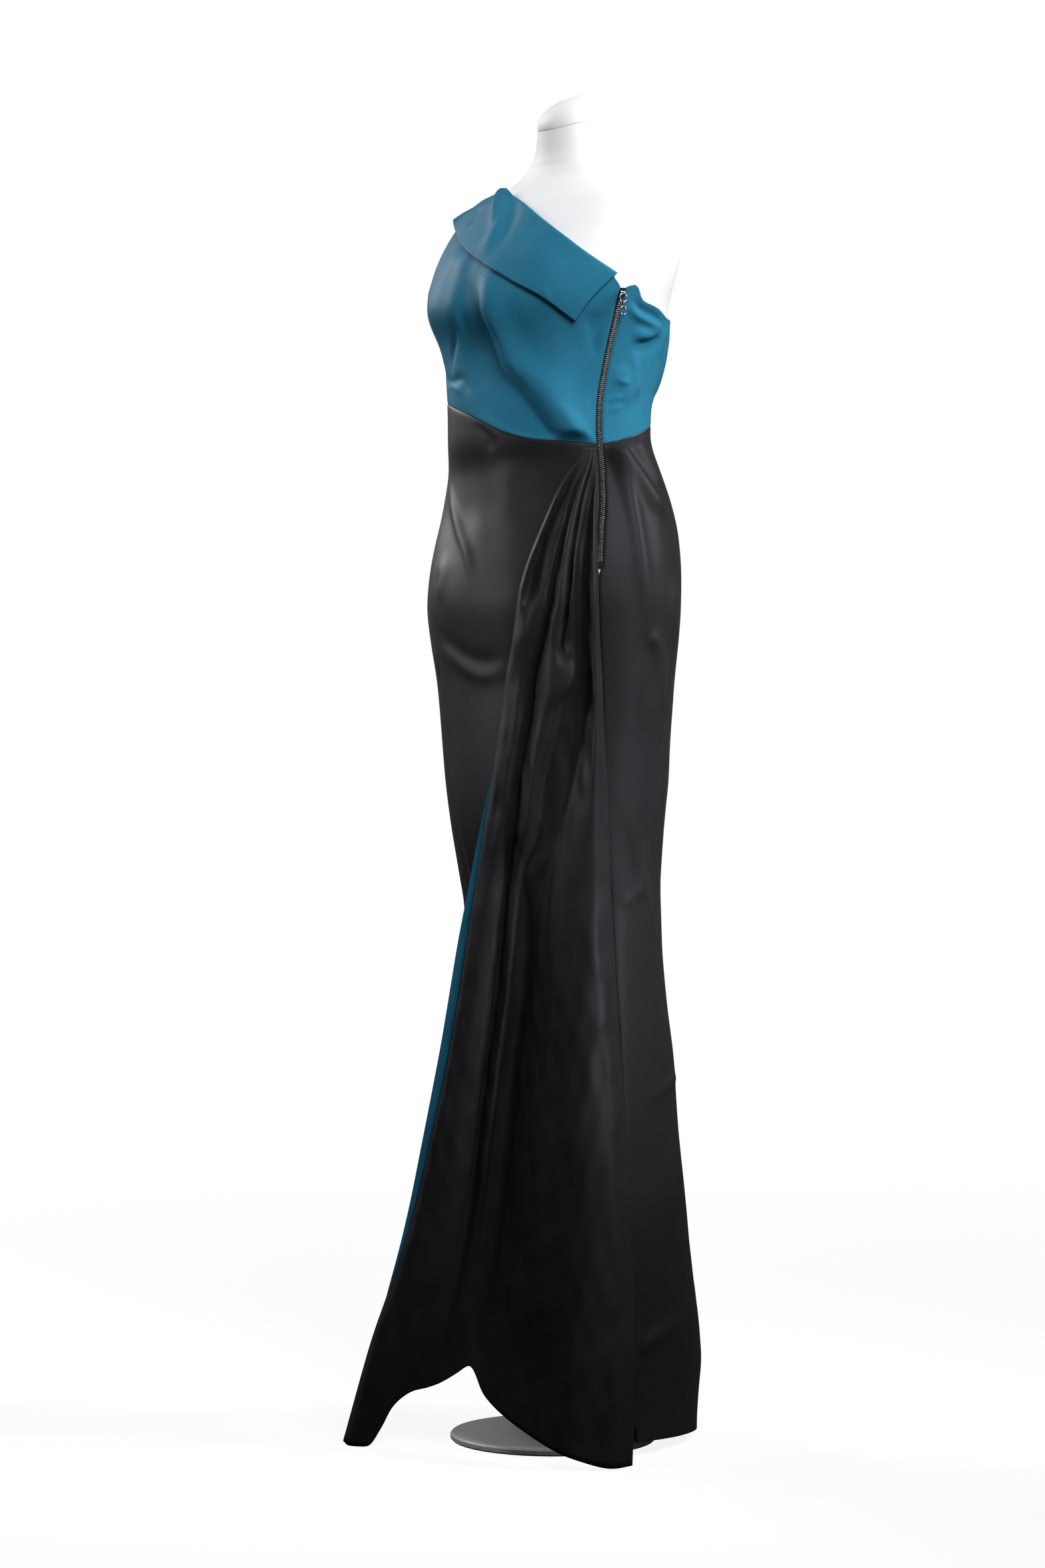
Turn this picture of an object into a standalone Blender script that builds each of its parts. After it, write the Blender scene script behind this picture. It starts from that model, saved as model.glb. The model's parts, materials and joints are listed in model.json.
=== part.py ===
"""One-shoulder evening gown of teal and black satin on a limbless dress form with a stand.

Frame: metres, +Z up, -Y the front of the figure, +X the figure's left, origin at the middle of the
underside of the stand's base, on the floor.

The cloth is laid out on the figure's rings: a point of the gown is an azimuth round the body (0 is the
figure's left side, -90 its front, 90 its back) and a height. The side drape hangs free of the figure, so
its folds are laid out on the quarter it hangs on: across (towards the back left) and out (front left).
"""

import math

import bmesh
import bpy
import numpy as np
from mathutils import Vector

MM = 0.001

# ---------------------------------------------------------------------------- driving dimensions
# Rings of the figure and of the skirt that hangs from it. The front and back reach are measured from
# the stand's axis, so the ring's centre line only says where the widest place lies.
RING_COLUMNS = ("height", "half_width", "front", "back", "centre")
RINGS_MM = (
    (0, 145, 90, 170, 0),
    (53, 144, 88, 175, 0),
    (89, 143, 86, 181, 0),
    (124, 142, 84, 178, 0),
    (178, 140, 82, 167, 0),
    (250, 138, 79, 156, 0),
    (340, 134, 76, 143, 0),
    (411, 131, 74, 137, 0),
    (483, 129, 72, 124, 0),
    (555, 128, 71, 114, 0),
    (591, 128, 72, 112, 0),
    (626, 131, 80, 108, 0),
    (680, 137, 92, 109, 0),
    (734, 144, 98, 113, 0),
    (788, 151, 101, 111, 0),
    (842, 159, 103, 110, 0),
    (895, 167, 112, 112, 0),
    (931, 170, 117, 113, 0),
    (967, 168, 113, 116, 0),
    (1003, 162, 105, 117, 0),
    (1039, 153, 97, 111, 0),
    (1075, 142, 96, 96, 0),
    (1110, 134, 105, 81, 0),
    (1146, 131, 107, 87, 0),
    (1182, 136, 105, 105, 0),
    (1218, 145, 107, 112, 1),
    (1254, 157, 118, 100, 6),
    (1290, 170, 112, 97, 15),
    (1308, 175, 105, 98, 18),
    (1326, 177, 94, 97, 22),
    (1343, 176, 80, 93, 24),
    (1361, 170, 66, 86, 26),
    (1378, 158, 52, 76, 28),
    (1395, 121, 36, 74, 30),
    (1410, 84, 21, 78, 32),
    (1422, 66, 16, 82, 33),
    (1440, 54, 12, 84, 35),
    (1482, 48, 11, 85, 37),
)

BUST_AZIMUTHS = (-55, -125)  # degrees
BUST_HEIGHT = 1.262
BUST_SPREAD = (24, 0.036)  # degrees round, metres up
BUST_FULLNESS = 0.009

# Cloth and seams
BODICE_WALL = 0.0015
SKIRT_WALL = 0.0015
DRAPE_WALL = 0.0015
LINING_WALL = 0.0010
FLAP_WALL = 0.0024
SEAM_GAP = 0.0003
SHOULDER_SEAM_GAP = 0.0024
EASE_MM = (  # height, room between the form and the cloth it carries
    (850, 2.6),
    (1270, 2.6),
    (1350, 3.8),
    (1376, 7.2),
    (1388, 9.4),
    (1402, 8.6),
    (1414, 5.5),
    (1430, 3.0),
    (1490, 3.0),
)

# The left side line, where the zip runs and the side seam goes on below it
SIDE_LINE = (  # height, azimuth
    (0.000, -2),
    (0.100, -2.5),
    (0.235, -4.5),
    (0.310, -6),
    (0.458, -10.5),
    (0.510, -13.5),
    (0.598, -17),
    (0.688, -21),
    (0.815, -27),
    (0.886, -30),
    (0.950, -30.8),
    (1.000, -30),
    (1.050, -27),
    (1.100, -23.2),
    (1.150, -20.8),
    (1.205, -19),
    (1.238, -18),
    (1.300, -19.5),
)
RIGHT_SIDE = 180  # azimuth of the right side seam and of the shoulder seam

# Seams and edges, each as azimuth and height
WAIST = (
    (-180, 1.165), (-158, 1.164), (-133, 1.158), (-102, 1.141), (-87, 1.128), (-77, 1.118),
    (-68, 1.111), (-58, 1.106), (-36, 1.102), (-25, 1.100), (-16, 1.102), (-6, 1.107), (19, 1.119),
    (50, 1.133), (90, 1.147), (135, 1.159), (180, 1.165),
)
WAIST_LEAN_AT = 0.012  # how far from the seam the wall's lean is read
WAIST_LEAN = 1.2  # room for the lean, as a share of the wall
NEAR_WAIST = 1.1  # a height at which the side line meets the waist seam
ZIP_TOP = 1.268
ZIP_FOOT = 0.968
ZIP_CLOSE = 0.012  # below the zip the two edges come together within this length
FRONT_NECKLINE = (
    (-180, 1.405), (-166, 1.401), (-148, 1.391), (-130, 1.386), (-114, 1.3875), (-104, 1.3865),
    (-96, 1.381), (-82, 1.3655), (-66, 1.340), (-53, 1.3195), (-41, 1.3015), (-31, 1.288),
    (-24, 1.279), (-18.6, ZIP_TOP),
)
BACK_NECKLINE = (
    (-18.6, ZIP_TOP), (-15, 1.271), (-7, 1.255), (6, 1.249), (24, 1.241), (55, 1.243), (90, 1.268),
    (120, 1.318), (150, 1.375), (180, 1.405),
)
ARMHOLE_FOOT = 1.235
SHOULDER_POINT = 1.377
FRONT_ARMHOLE = (
    (-180, ARMHOLE_FOOT), (-160, 1.248), (-146, 1.275), (-139, 1.310), (-142, 1.345), (-158, 1.368),
    (-180, SHOULDER_POINT),
)
BACK_ARMHOLE = (
    (180, ARMHOLE_FOOT), (160, 1.250), (150, 1.280), (147, 1.315), (152, 1.348), (164, 1.368),
    (180, SHOULDER_POINT),
)
FRONT_HEM = (
    (-180, 0.085), (-160, 0.100), (-130, 0.112), (-100, 0.115), (-60, 0.115), (-30, 0.090),
    (-2, 0.030),
)
BACK_HEM = (
    (-2, 0.016), (30, 0.012), (90, 0.004), (140, 0.006), (160, 0.022), (172, 0.058), (180, 0.085),
)

# The collar band, folded outwards over the front neckline
FLAP_FOLD = (
    (-172, 1.4085), (-160, 1.4025), (-148, 1.3955), (-136, 1.3905), (-124, 1.390), (-114, 1.3925),
    (-107, 1.393), (-98, 1.387), (-90, 1.3795), (-82, 1.369), (-66, 1.3435), (-53, 1.323),
    (-41, 1.3045), (-31, 1.291), (-24.3, 1.2825),
)
FLAP_EDGE = (
    (-153, 1.369), (-150, 1.3675), (-147, 1.3655), (-143, 1.3635), (-138, 1.361), (-130, 1.356),
    (-124, 1.351), (-112, 1.336), (-102, 1.3225), (-92, 1.3085), (-82, 1.295), (-66, 1.2745),
    (-51, 1.257), (-37.5, 1.2335),
)
FLAP_LIFT = (  # share of the way from the shoulder to the zip, lift at the fold, lift at the free edge
    (0.00, 0.0022, 0.0156),
    (0.03, 0.0022, 0.0090),
    (0.06, 0.0022, 0.0055),
    (0.10, 0.0022, 0.0045),
    (0.22, 0.0022, 0.0042),
    (0.45, 0.0022, 0.0045),
    (0.80, 0.0022, 0.0055),
    (1.00, 0.0026, 0.0085),
)

# The side drape: where it hangs, and its folds from the free front edge to the side seam
DRAPE_QUARTER = math.radians(50)
ACROSS = Vector((math.cos(DRAPE_QUARTER), math.sin(DRAPE_QUARTER), 0))
OUT = Vector((math.sin(DRAPE_QUARTER), -math.cos(DRAPE_QUARTER), 0))
FOLD_COLUMNS = ("edge", "crest_1", "valley_1", "crest_2", "valley_2", "crest_3", "seam")
# Each row: its height at the waist end of the drape, then across and lift off the skirt, in mm
PINNED_FOLDS_MM = (
    (1098, (23, 4), (26, 8), (29, 4), (32, 8), (35, 4), (38, 7), (41, 4)),
    (1080, (19, 4), (23, 10), (28, 4), (33, 11), (37, 5), (41, 9), (44.5, 4)),
    (1045, (-1, 4), (6, 13), (15, 5), (24, 15), (33, 5), (41, 12), (46, 4)),
    (1008, (-20, 4), (-12, 16), (2, 5), (15, 18), (30, 5), (40, 14), (46.5, 4)),
    (936, (-39, 4), (-29, 18), (-10, 5), (8, 21), (26, 5), (40, 16), (47, 4)),
    (825, (-54, 7), (-43, 20), (-21, 7), (-4, 19), (20, 5), (43, 18), (52, 4)),
    (686, (-75, 10), (-62, 23), (-43, 9), (-28, 16), (7, 5), (43, 22), (56, 5)),
)
# Each row: its height, then across and out, in mm
FREE_FOLDS_MM = (
    (560, (-97, 48), (-81, 70), (-58, 78), (-44, 92), (-13, 107), (40, 142), (64, 121)),
    (445, (-118, 50), (-98, 72), (-75, 72), (-62, 88), (-34, 98), (36, 152), (71, 135)),
    (330, (-142, 48), (-118, 70), (-95, 68), (-80, 82), (-50, 98), (36, 165), (77, 150)),
    (220, (-169, 44), (-143, 66), (-120, 62), (-103, 76), (-67, 97), (34, 178), (81, 166)),
)
HEM_FOLDS_MM = (  # across, out and height
    (-236, 34, 3), (-207, 56, 4), (-171, 54, 46), (-142, 68, 66), (-91, 96, 95), (20, 196, 12),
    (82, 186, 3),
)
# The least room between the skirt and what hangs over it
DRAPE_CLEARANCE = 0.0040
SKIRT_CLEARANCE = 0.0010
# The lining shows where the free edge turns back
LINING_ROWS = (8, 21)  # the rows of the drape that it spans, from the waist down
LINING_SHOWS = 0.010
LINING_TUCK = 2  # columns of the drape that it reaches behind
LINING_DROOP = 0.35  # how far it falls back for each step it shows
LINING_FADE = (0.04, 0.96)  # where on the half wave of its width the strip starts and ends
LINING_GAP = 0.0018

# Zip
PANEL_TO_ZIP = 0.0035  # from the zip's middle line to the cloth's edge
TAPE_HALF_WIDTH = 0.0031
TAPE_THICKNESS = 0.0010
CHAIN_HALF_WIDTH = 0.0018
CHAIN_LIFT = 0.0013
CHAIN_THICKNESS = 0.0014
SHORTEST_ROW = 0.002
TAPE_END = 0.001  # how far the tape stops below the zip's top
CHAIN_START = 0.004  # how far above the zip's foot the teeth start
SLIDER_SIZE = (0.0064, 0.0100, 0.0022)  # across, along, out
SLIDER_HEIGHT = 1.2595
SLIDER_LIFT = 0.0031
SLIDER_EDGE = 0.0007
BRIDGE_RADIUS = 0.0016
BRIDGE_WIRE = 0.0005
HINGE_STANDOFF = 0.0011  # from the slider's face to the axis the pull swings on
HINGE_UP_SLIDER = 0.0022

# Links of the pull: outer width, outer length, and whether the link hangs face on or edge on
LINK_WIRE = 0.0007
LINK_CLEARANCE = 0.0003
LINKS = (
    ("pull_link_1", 0.0090, 0.0105, "face"),
    ("pull_link_2", 0.0050, 0.0095, "edge"),
    ("pull_link_3", 0.0066, 0.0105, "face"),
)

# Form and stand
FORM_SEGMENTS = 40
FORM_FOOT = 0.850
FORM_HEIGHTS = (
    FORM_FOOT, 0.875, 0.905, 0.935, 0.970, 1.005, 1.040, 1.075, 1.110, 1.146, 1.182, 1.215, 1.245,
    1.272, 1.297, 1.320, 1.340, 1.357, 1.371, 1.382, 1.392, 1.401, 1.410, 1.421, 1.435, 1.454, 1.476,
)
NECK_TILT = math.radians(19)  # the neck is cut lower in front
NECK_TILT_FROM = 1.415
CAP_RISE = 0.027
CAP_RINGS = 5
CAP_FLAT = 0.6  # share of a ring left as a small flat at the crown
CAP_SEGMENTS = 28
FIT_GAP = 0.0003
POLE_RADIUS = 0.0125
BASE_RADIUS = 0.115
BASE_THICKNESS = 0.008
BASE_RIM = 0.002
SHARP_FROM = math.radians(50)
BASE_CENTRE = (0.0, 0.0)

# Mesh density
BODICE_COLUMNS = 20
SHOULDER_COLUMNS = 4
BODICE_ROWS = 18
SIDE_SEAM_ROWS = 4
SKIRT_COLUMNS = 18
SKIRT_ROWS = 26
SKIRT_ZIP_ROWS = 5
DRAPE_COLUMNS = 24
DRAPE_ROWS = 25
FLAP_COLUMNS = 18
FLAP_ROWS = 4

# Colours: sRGB, roughness, metallic
TEAL_SATIN = ("#2F6F8C", 0.42, 0.0)
BLACK_SATIN = ("#1A1A1C", 0.45, 0.0)
TAPE_CLOTH = ("#2A2626", 0.80, 0.0)
GUNMETAL = ("#6E6A68", 0.30, 1.0)
FORM_SKIN = ("#F1F1F2", 0.55, 0.0)
STAND_PAINT = ("#F4F4F4", 0.40, 0.0)


# ---------------------------------------------------------------------------- curves and rings
def smooth(x, knots, values):
    """A smooth curve through the knots that never swings past them."""
    knots = np.asarray(knots, float)
    values = np.asarray(values, float)
    x = np.asarray(x, float)
    run = np.diff(knots)
    slope = np.diff(values) / run
    tangent = np.zeros_like(values)
    tangent[0], tangent[-1] = slope[0], slope[-1]
    same_way = slope[:-1] * slope[1:] > 0
    total = np.where(same_way, slope[:-1] + slope[1:], 1.0)
    tangent[1:-1] = np.where(same_way, 2 * slope[:-1] * slope[1:] / total, 0.0)
    i = np.clip(np.searchsorted(knots, x) - 1, 0, len(run) - 1)
    t = (x - knots[i]) / run[i]
    return (
        (2 * t**3 - 3 * t**2 + 1) * values[i]
        + (t**3 - 2 * t**2 + t) * run[i] * tangent[i]
        + (3 * t**2 - 2 * t**3) * values[i + 1]
        + (t**3 - t**2) * run[i] * tangent[i + 1]
    )


RINGS = dict(zip(RING_COLUMNS, np.array(RINGS_MM, float).T * MM))


def ring(column, height):
    return smooth(height, RINGS["height"], RINGS[column])


def bust(azimuth, height):
    round_, up = BUST_SPREAD
    bulge = sum(np.exp(-(((azimuth - apex) / round_) ** 2)) for apex in BUST_AZIMUTHS)
    return BUST_FULLNESS * bulge * np.exp(-(((height - BUST_HEIGHT) / up) ** 2))


def figure(azimuth, height):
    """Points on the figure's surface, as an array whose last axis is x, y, z."""
    azimuth, height = np.broadcast_arrays(np.asarray(azimuth, float), np.asarray(height, float))
    turn = np.radians(azimuth)
    centre = ring("centre", height)
    front = ring("front", height) + centre
    back = ring("back", height) - centre
    reach = np.where(np.sin(turn) < 0, front, back)
    x = ring("half_width", height) * np.cos(turn)
    y = centre + reach * np.sin(turn) - bust(azimuth, height)
    return np.stack([x, y, height], axis=-1)


def outward(azimuth, height):
    """Unit normals of the figure's surface."""
    turn, rise = 0.5, 0.001
    around = figure(azimuth + turn, height) - figure(azimuth - turn, height)
    up = figure(azimuth, height + rise) - figure(azimuth, height - rise)
    normal = np.cross(around, up)
    return normal / np.linalg.norm(normal, axis=-1, keepdims=True)


def along_ring(azimuth, height, distance):
    """The azimuth of the point that lies a distance further round the ring."""
    step = np.linalg.norm(figure(azimuth + 0.5, height) - figure(azimuth - 0.5, height), axis=-1)
    return azimuth + distance / step


def side_line(height):
    knots = np.array(SIDE_LINE)
    return smooth(height, knots[:, 0], knots[:, 1])


def waist(azimuth):
    knots = np.array(WAIST, float)
    return smooth(azimuth, knots[:, 0], knots[:, 1])


# ---------------------------------------------------------------------------- laying out a panel
METRES_A_DEGREE = 0.0023  # about how far a degree is round the body


def spaced(curve, pieces):
    """Splits a dense run of (azimuth, height) points into pieces of equal length on the figure."""
    points = figure(curve[:, 0], curve[:, 1])
    length = np.concatenate([[0], np.cumsum(np.linalg.norm(np.diff(points, axis=0), axis=-1))])
    wanted = np.linspace(0, length[-1], pieces + 1)
    return np.stack([np.interp(wanted, length, curve[:, k]) for k in (0, 1)], axis=-1)


def through(knots, dense=200):
    """A dense smooth run through (azimuth, height) knots."""
    knots = np.array(knots, float)
    step = np.linalg.norm(np.diff(knots, axis=0) * np.array([METRES_A_DEGREE, 1.0]), axis=-1)
    at = np.concatenate([[0], np.cumsum(step)])
    t = np.linspace(0, at[-1], dense)
    return np.stack([smooth(t, at, knots[:, k]) for k in (0, 1)], axis=-1)


def joined(first, second):
    return np.concatenate([first, second[1:]])


def patch(bottom, top, left, right):
    """Fills the four edges of a panel with rows and columns."""
    u = np.linspace(0, 1, len(bottom))[None, :, None]
    v = np.linspace(0, 1, len(left))[:, None, None]
    at_bottom = (1 - u) * bottom[0] + u * bottom[-1]
    at_top = (1 - u) * top[0] + u * top[-1]
    corners = (1 - v) * at_bottom + v * at_top
    between_sides = (1 - u) * left[:, None] + u * right[:, None]
    return (1 - v) * bottom[None] + v * top[None] + between_sides - corners


def pinned(edge, first, last):
    """Moves an edge so that it starts and ends exactly on its neighbours' corners."""
    t = np.linspace(0, 1, len(edge))[:, None]
    return edge + (1 - t) * (first - edge[0]) + t * (last - edge[-1])


# ---------------------------------------------------------------------------- Blender helpers
def clear_scene():
    for obj in list(bpy.data.objects):
        bpy.data.objects.remove(obj, do_unlink=True)


def new_collection(name):
    collection = bpy.data.collections.new(name)
    bpy.context.scene.collection.children.link(collection)
    return collection


def linear(channel):
    return channel / 12.92 if channel <= 0.04045 else ((channel + 0.055) / 1.055) ** 2.4


def material(name, look):
    colour, roughness, metallic = look
    made = bpy.data.materials.new(name)
    made.use_nodes = True
    shader = made.node_tree.nodes["Principled BSDF"]
    rgb = [linear(int(colour[i : i + 2], 16) / 255) for i in (1, 3, 5)]
    shader.inputs["Base Color"].default_value = (*rgb, 1)
    shader.inputs["Roughness"].default_value = roughness
    shader.inputs["Metallic"].default_value = metallic
    return made


def add_object(name, data, look, collection):
    obj = bpy.data.objects.new(name, data)
    obj.data.materials.append(material(name, look))
    collection.objects.link(obj)
    return obj


def sheet_mesh(name, points):
    """An open sheet from rows and columns of points, facing away from the body."""
    rows, columns = points.shape[:2]
    quads = [
        (r * columns + c, r * columns + c + 1, (r + 1) * columns + c + 1, (r + 1) * columns + c)
        for r in range(rows - 1)
        for c in range(columns - 1)
    ]
    mesh = bpy.data.meshes.new(name)
    mesh.from_pydata(points.reshape(-1, 3).tolist(), [], quads)
    mesh.shade_smooth()
    return mesh


def cloth_wall(name, points, wall, look, collection):
    """A wall of cloth whose inner face is the sheet and whose outer face is one wall further out."""
    obj = add_object(name, sheet_mesh(name, points), look, collection)
    thick = obj.modifiers.new("wall", "SOLIDIFY")
    thick.thickness = wall
    thick.offset = 1
    thick.use_quality_normals = True
    return obj


def closed_loft(name, rings, look, collection):
    """A solid through closed rings of points, with a flat face at each end."""
    count = rings.shape[1]
    shape = bmesh.new()
    verts = [[shape.verts.new(point) for point in loop] for loop in rings.tolist()]
    for lower, upper in zip(verts, verts[1:]):
        for i in range(count):
            j = (i + 1) % count
            shape.faces.new((lower[i], lower[j], upper[j], upper[i]))
    shape.faces.new(list(reversed(verts[0])))
    shape.faces.new(verts[-1])
    mesh = bpy.data.meshes.new(name)
    shape.to_mesh(mesh)
    shape.free()
    mesh.shade_smooth()
    mesh.set_sharp_from_angle(angle=SHARP_FROM)
    return add_object(name, mesh, look, collection)


def cylinder(name, radius, foot, top, centre, segments, look, collection):
    shape = bmesh.new()
    bmesh.ops.create_cone(
        shape, cap_ends=True, segments=segments, radius1=radius, radius2=radius, depth=top - foot
    )
    mesh = bpy.data.meshes.new(name)
    shape.to_mesh(mesh)
    shape.free()
    mesh.shade_smooth()
    mesh.set_sharp_from_angle(angle=SHARP_FROM)
    obj = add_object(name, mesh, look, collection)
    obj.location = (*centre, (foot + top) / 2)
    return obj


# ---------------------------------------------------------------------------- bodice and skirt
def zip_edge(heights, way):
    """The cloth's edge beside the zip, or at the side seam below the zip's foot."""
    open_half = np.where(heights > ZIP_FOOT - ZIP_CLOSE / 2, PANEL_TO_ZIP, SEAM_GAP / 2)
    return along_ring(side_line(heights), heights, way * open_half)


def side_edge(heights, way):
    return np.stack([zip_edge(heights, way), heights], axis=-1)


def bodice_zip_heights(foot):
    return np.linspace(foot, ZIP_TOP, BODICE_ROWS + 1)


def skirt_side_heights(hem, top):
    """Heights down the left side: even below the zip, one short row that closes, even beside it."""
    beside = np.linspace(ZIP_FOOT - FIT_GAP, top, SKIRT_ZIP_ROWS + 1)
    below = np.linspace(hem, ZIP_FOOT - ZIP_CLOSE, SKIRT_ROWS - SKIRT_ZIP_ROWS)
    return np.concatenate([below, beside])


def right_edge(foot, top, way, rows, gap=SEAM_GAP):
    heights = np.linspace(foot, top, 60)
    azimuth = along_ring(-way * RIGHT_SIDE, heights, way * gap / 2)
    return spaced(np.stack([azimuth, heights], axis=-1), rows)


def waist_edge(first, last, columns, side):
    """The edge above (side 1) or below (-1) the waist seam, clear of the seam by its wall's lean."""
    azimuth = np.linspace(first, last, 200)
    seam = waist(azimuth)
    lean = np.maximum(0, -side * outward(azimuth, seam + side * WAIST_LEAN_AT)[:, 2])
    away = SEAM_GAP / 2 + WAIST_LEAN * BODICE_WALL * lean
    return spaced(np.stack([azimuth, seam + side * away], axis=-1), columns)


def waist_ends(way):
    """The azimuths where the waist seam of the front (way 1) or back (-1) starts and ends."""
    right = along_ring(-way * RIGHT_SIDE, waist(-way * RIGHT_SIDE), way * SEAM_GAP / 2)
    foot = waist(side_line(NEAR_WAIST))
    beside_zip = along_ring(side_line(foot), foot, -way * PANEL_TO_ZIP)
    return float(right), float(beside_zip)


def bodice_layout(way, neckline, armhole):
    """Azimuth and height of each point of the front (way 1) or back (way -1) of the bodice."""
    right, beside_zip = waist_ends(way)
    waistline = waist_edge(right, beside_zip, BODICE_COLUMNS, 1)
    side = right_edge(waistline[0, 1], ARMHOLE_FOOT, way, SIDE_SEAM_ROWS)
    arm = spaced(through(armhole), BODICE_ROWS - SIDE_SEAM_ROWS)
    outer = joined(side, pinned(arm, side[-1], arm[-1]))
    seam = right_edge(
        SHOULDER_POINT, FRONT_NECKLINE[0][1], way, SHOULDER_COLUMNS, SHOULDER_SEAM_GAP
    )
    outer[-1] = seam[0]
    neck = spaced(through(neckline), BODICE_COLUMNS - SHOULDER_COLUMNS)
    neck = pinned(neck, seam[-1], np.array([zip_edge(np.array(ZIP_TOP), -way), ZIP_TOP]))
    closure = side_edge(bodice_zip_heights(waistline[-1, 1]), -way)
    closure[0], closure[-1] = waistline[-1], neck[-1]
    return patch(waistline, joined(seam, neck), outer, closure)


def skirt_layout(way, hem):
    """Azimuth and height of each point of the front (way 1) or back (way -1) of the skirt."""
    right, beside_zip = waist_ends(way)
    waistline = waist_edge(right, beside_zip, SKIRT_COLUMNS, -1)
    hemline = spaced(through(hem), SKIRT_COLUMNS)
    at_right, at_left = hem_ends(hem)
    outer = right_edge(at_right, waistline[0, 1], way, SKIRT_ROWS)
    closure = side_edge(skirt_side_heights(at_left, waistline[-1, 1]), -way)
    closure[-1] = waistline[-1]
    outer[-1] = waistline[0]
    return patch(pinned(hemline, outer[0], closure[0]), waistline, outer, closure)


def hem_ends(hem):
    """The hem's heights at the right side seam and at the left side line."""
    by_azimuth = sorted(hem, key=lambda knot: abs(knot[0]))
    return by_azimuth[-1][1], by_azimuth[0][1]


def ordered(layout):
    """Turns a layout round, if need be, so that its columns run with rising azimuth."""
    return layout if layout[0, 0, 0] < layout[0, -1, 0] else layout[:, ::-1]


def on_figure(layout, lift=0.0):
    azimuth, height = layout[..., 0], layout[..., 1]
    return figure(azimuth, height) + np.asarray(lift)[..., None] * outward(azimuth, height)


def build_bodice(collection):
    front = ordered(bodice_layout(1, FRONT_NECKLINE, FRONT_ARMHOLE))
    back = ordered(bodice_layout(-1, BACK_NECKLINE[::-1], BACK_ARMHOLE))
    cloth_wall("bodice_front", on_figure(front), BODICE_WALL, TEAL_SATIN, collection)
    cloth_wall("bodice_back", on_figure(back), BODICE_WALL, TEAL_SATIN, collection)


def build_skirt(collection):
    front = ordered(skirt_layout(1, FRONT_HEM))
    back = ordered(skirt_layout(-1, BACK_HEM[::-1]))
    cloth_wall("skirt_front", on_figure(front), SKIRT_WALL, BLACK_SATIN, collection)
    cloth_wall("skirt_back", on_figure(back), SKIRT_WALL, BLACK_SATIN, collection)


def flap_layout():
    fold = spaced(through(FLAP_FOLD), FLAP_COLUMNS)
    edge = spaced(through(FLAP_EDGE), FLAP_COLUMNS)
    share = np.linspace(0, 1, FLAP_ROWS + 1)[:, None, None]
    return (1 - share) * edge[None] + share * fold[None]


def build_flap(collection):
    layout = flap_layout()
    rows, columns = layout.shape[:2]
    table = np.array(FLAP_LIFT)
    at = np.linspace(0, 1, columns)
    up = np.linspace(0, 1, rows)[:, None]
    lift = up * smooth(at, table[:, 0], table[:, 1]) + (1 - up) * smooth(at, table[:, 0], table[:, 2])
    cloth_wall("collar_flap", on_figure(layout, lift), FLAP_WALL, TEAL_SATIN, collection)


# ---------------------------------------------------------------------------- side drape
def skirt_out(across, height):
    """How far out the skirt's outer face reaches at a place across it."""
    turn = np.arange(-180, 181, 2.0)
    points = figure(turn, height) + SKIRT_WALL * outward(turn, height)
    way_across = points @ np.array(ACROSS)
    way_out = points @ np.array(OUT)
    near = slice(int(np.argmin(way_across)), int(np.argmax(way_across)) + 1)
    return np.interp(across, way_across[near], way_out[near], left=-1.0, right=-1.0)


def fold_rows():
    """Across, out and height of each fold at each row, from the waist down: (rows, folds, 3)."""
    rows = []
    for height, *folds in PINNED_FOLDS_MM:
        across = np.array([fold[0] for fold in folds]) * MM
        lift = np.array([fold[1] for fold in folds]) * MM
        level = np.full(len(folds), height * MM)
        rows.append(np.stack([across, skirt_out(across, height * MM) + lift, level], axis=-1))
    for height, *folds in FREE_FOLDS_MM:
        rows.append(np.array([(across, out, height) for across, out in folds]) * MM)
    rows.append(np.array(HEM_FOLDS_MM) * MM)
    return np.array(rows)


def drape_surface(rows_at, columns_at):
    """Across, out and height at each share of the way down and each share of the way across."""
    table = fold_rows()
    heights = table[:, :, 2].mean(axis=1)
    fall = (heights[0] - heights) / (heights[0] - heights[-1])
    folds = np.linspace(0, 1, len(FOLD_COLUMNS))
    down = np.stack(
        [[smooth(rows_at, fall, table[:, f, k]) for k in range(3)] for f in range(len(folds))]
    )
    place = np.stack(
        [[smooth(columns_at, folds, down[:, k, r]) for k in range(3)] for r in range(len(rows_at))]
    )
    return np.moveaxis(place, 1, 2)


def off_the_skirt(place, gap):
    """Keeps each point at least a gap outside the skirt."""
    for row in place:
        for point in row:
            if point[2] > FRONT_HEM[0][1]:
                point[1] = max(point[1], float(skirt_out(point[0], point[2])) + gap)
    return place


def quarter_to_frame(place):
    across, out, height = place[..., 0:1], place[..., 1:2], place[..., 2]
    points = across * np.array(ACROSS) + out * np.array(OUT)
    points[..., 2] = height
    return points


def drape_place():
    down = np.linspace(0, 1, DRAPE_ROWS + 1)
    place = drape_surface(down, np.linspace(0, 1, DRAPE_COLUMNS + 1))
    return off_the_skirt(place, DRAPE_CLEARANCE)


def build_drape(collection):
    points = quarter_to_frame(drape_place())[::-1]
    cloth_wall("side_drape", points, DRAPE_WALL, BLACK_SATIN, collection)


# ---------------------------------------------------------------------------- zip
def zip_heights(foot, top):
    """The heights of the cloth's rows beside the zip, cut to a stretch of it."""
    seam = float(waist(side_line(NEAR_WAIST)))
    beside_skirt = np.linspace(ZIP_FOOT, seam, SKIRT_ZIP_ROWS + 1)
    rows = np.concatenate([beside_skirt, bodice_zip_heights(seam)[1:]])
    inner = rows[(rows > foot + SHORTEST_ROW) & (rows < top - SHORTEST_ROW)]
    return np.concatenate([[foot], inner, [top]])


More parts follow.
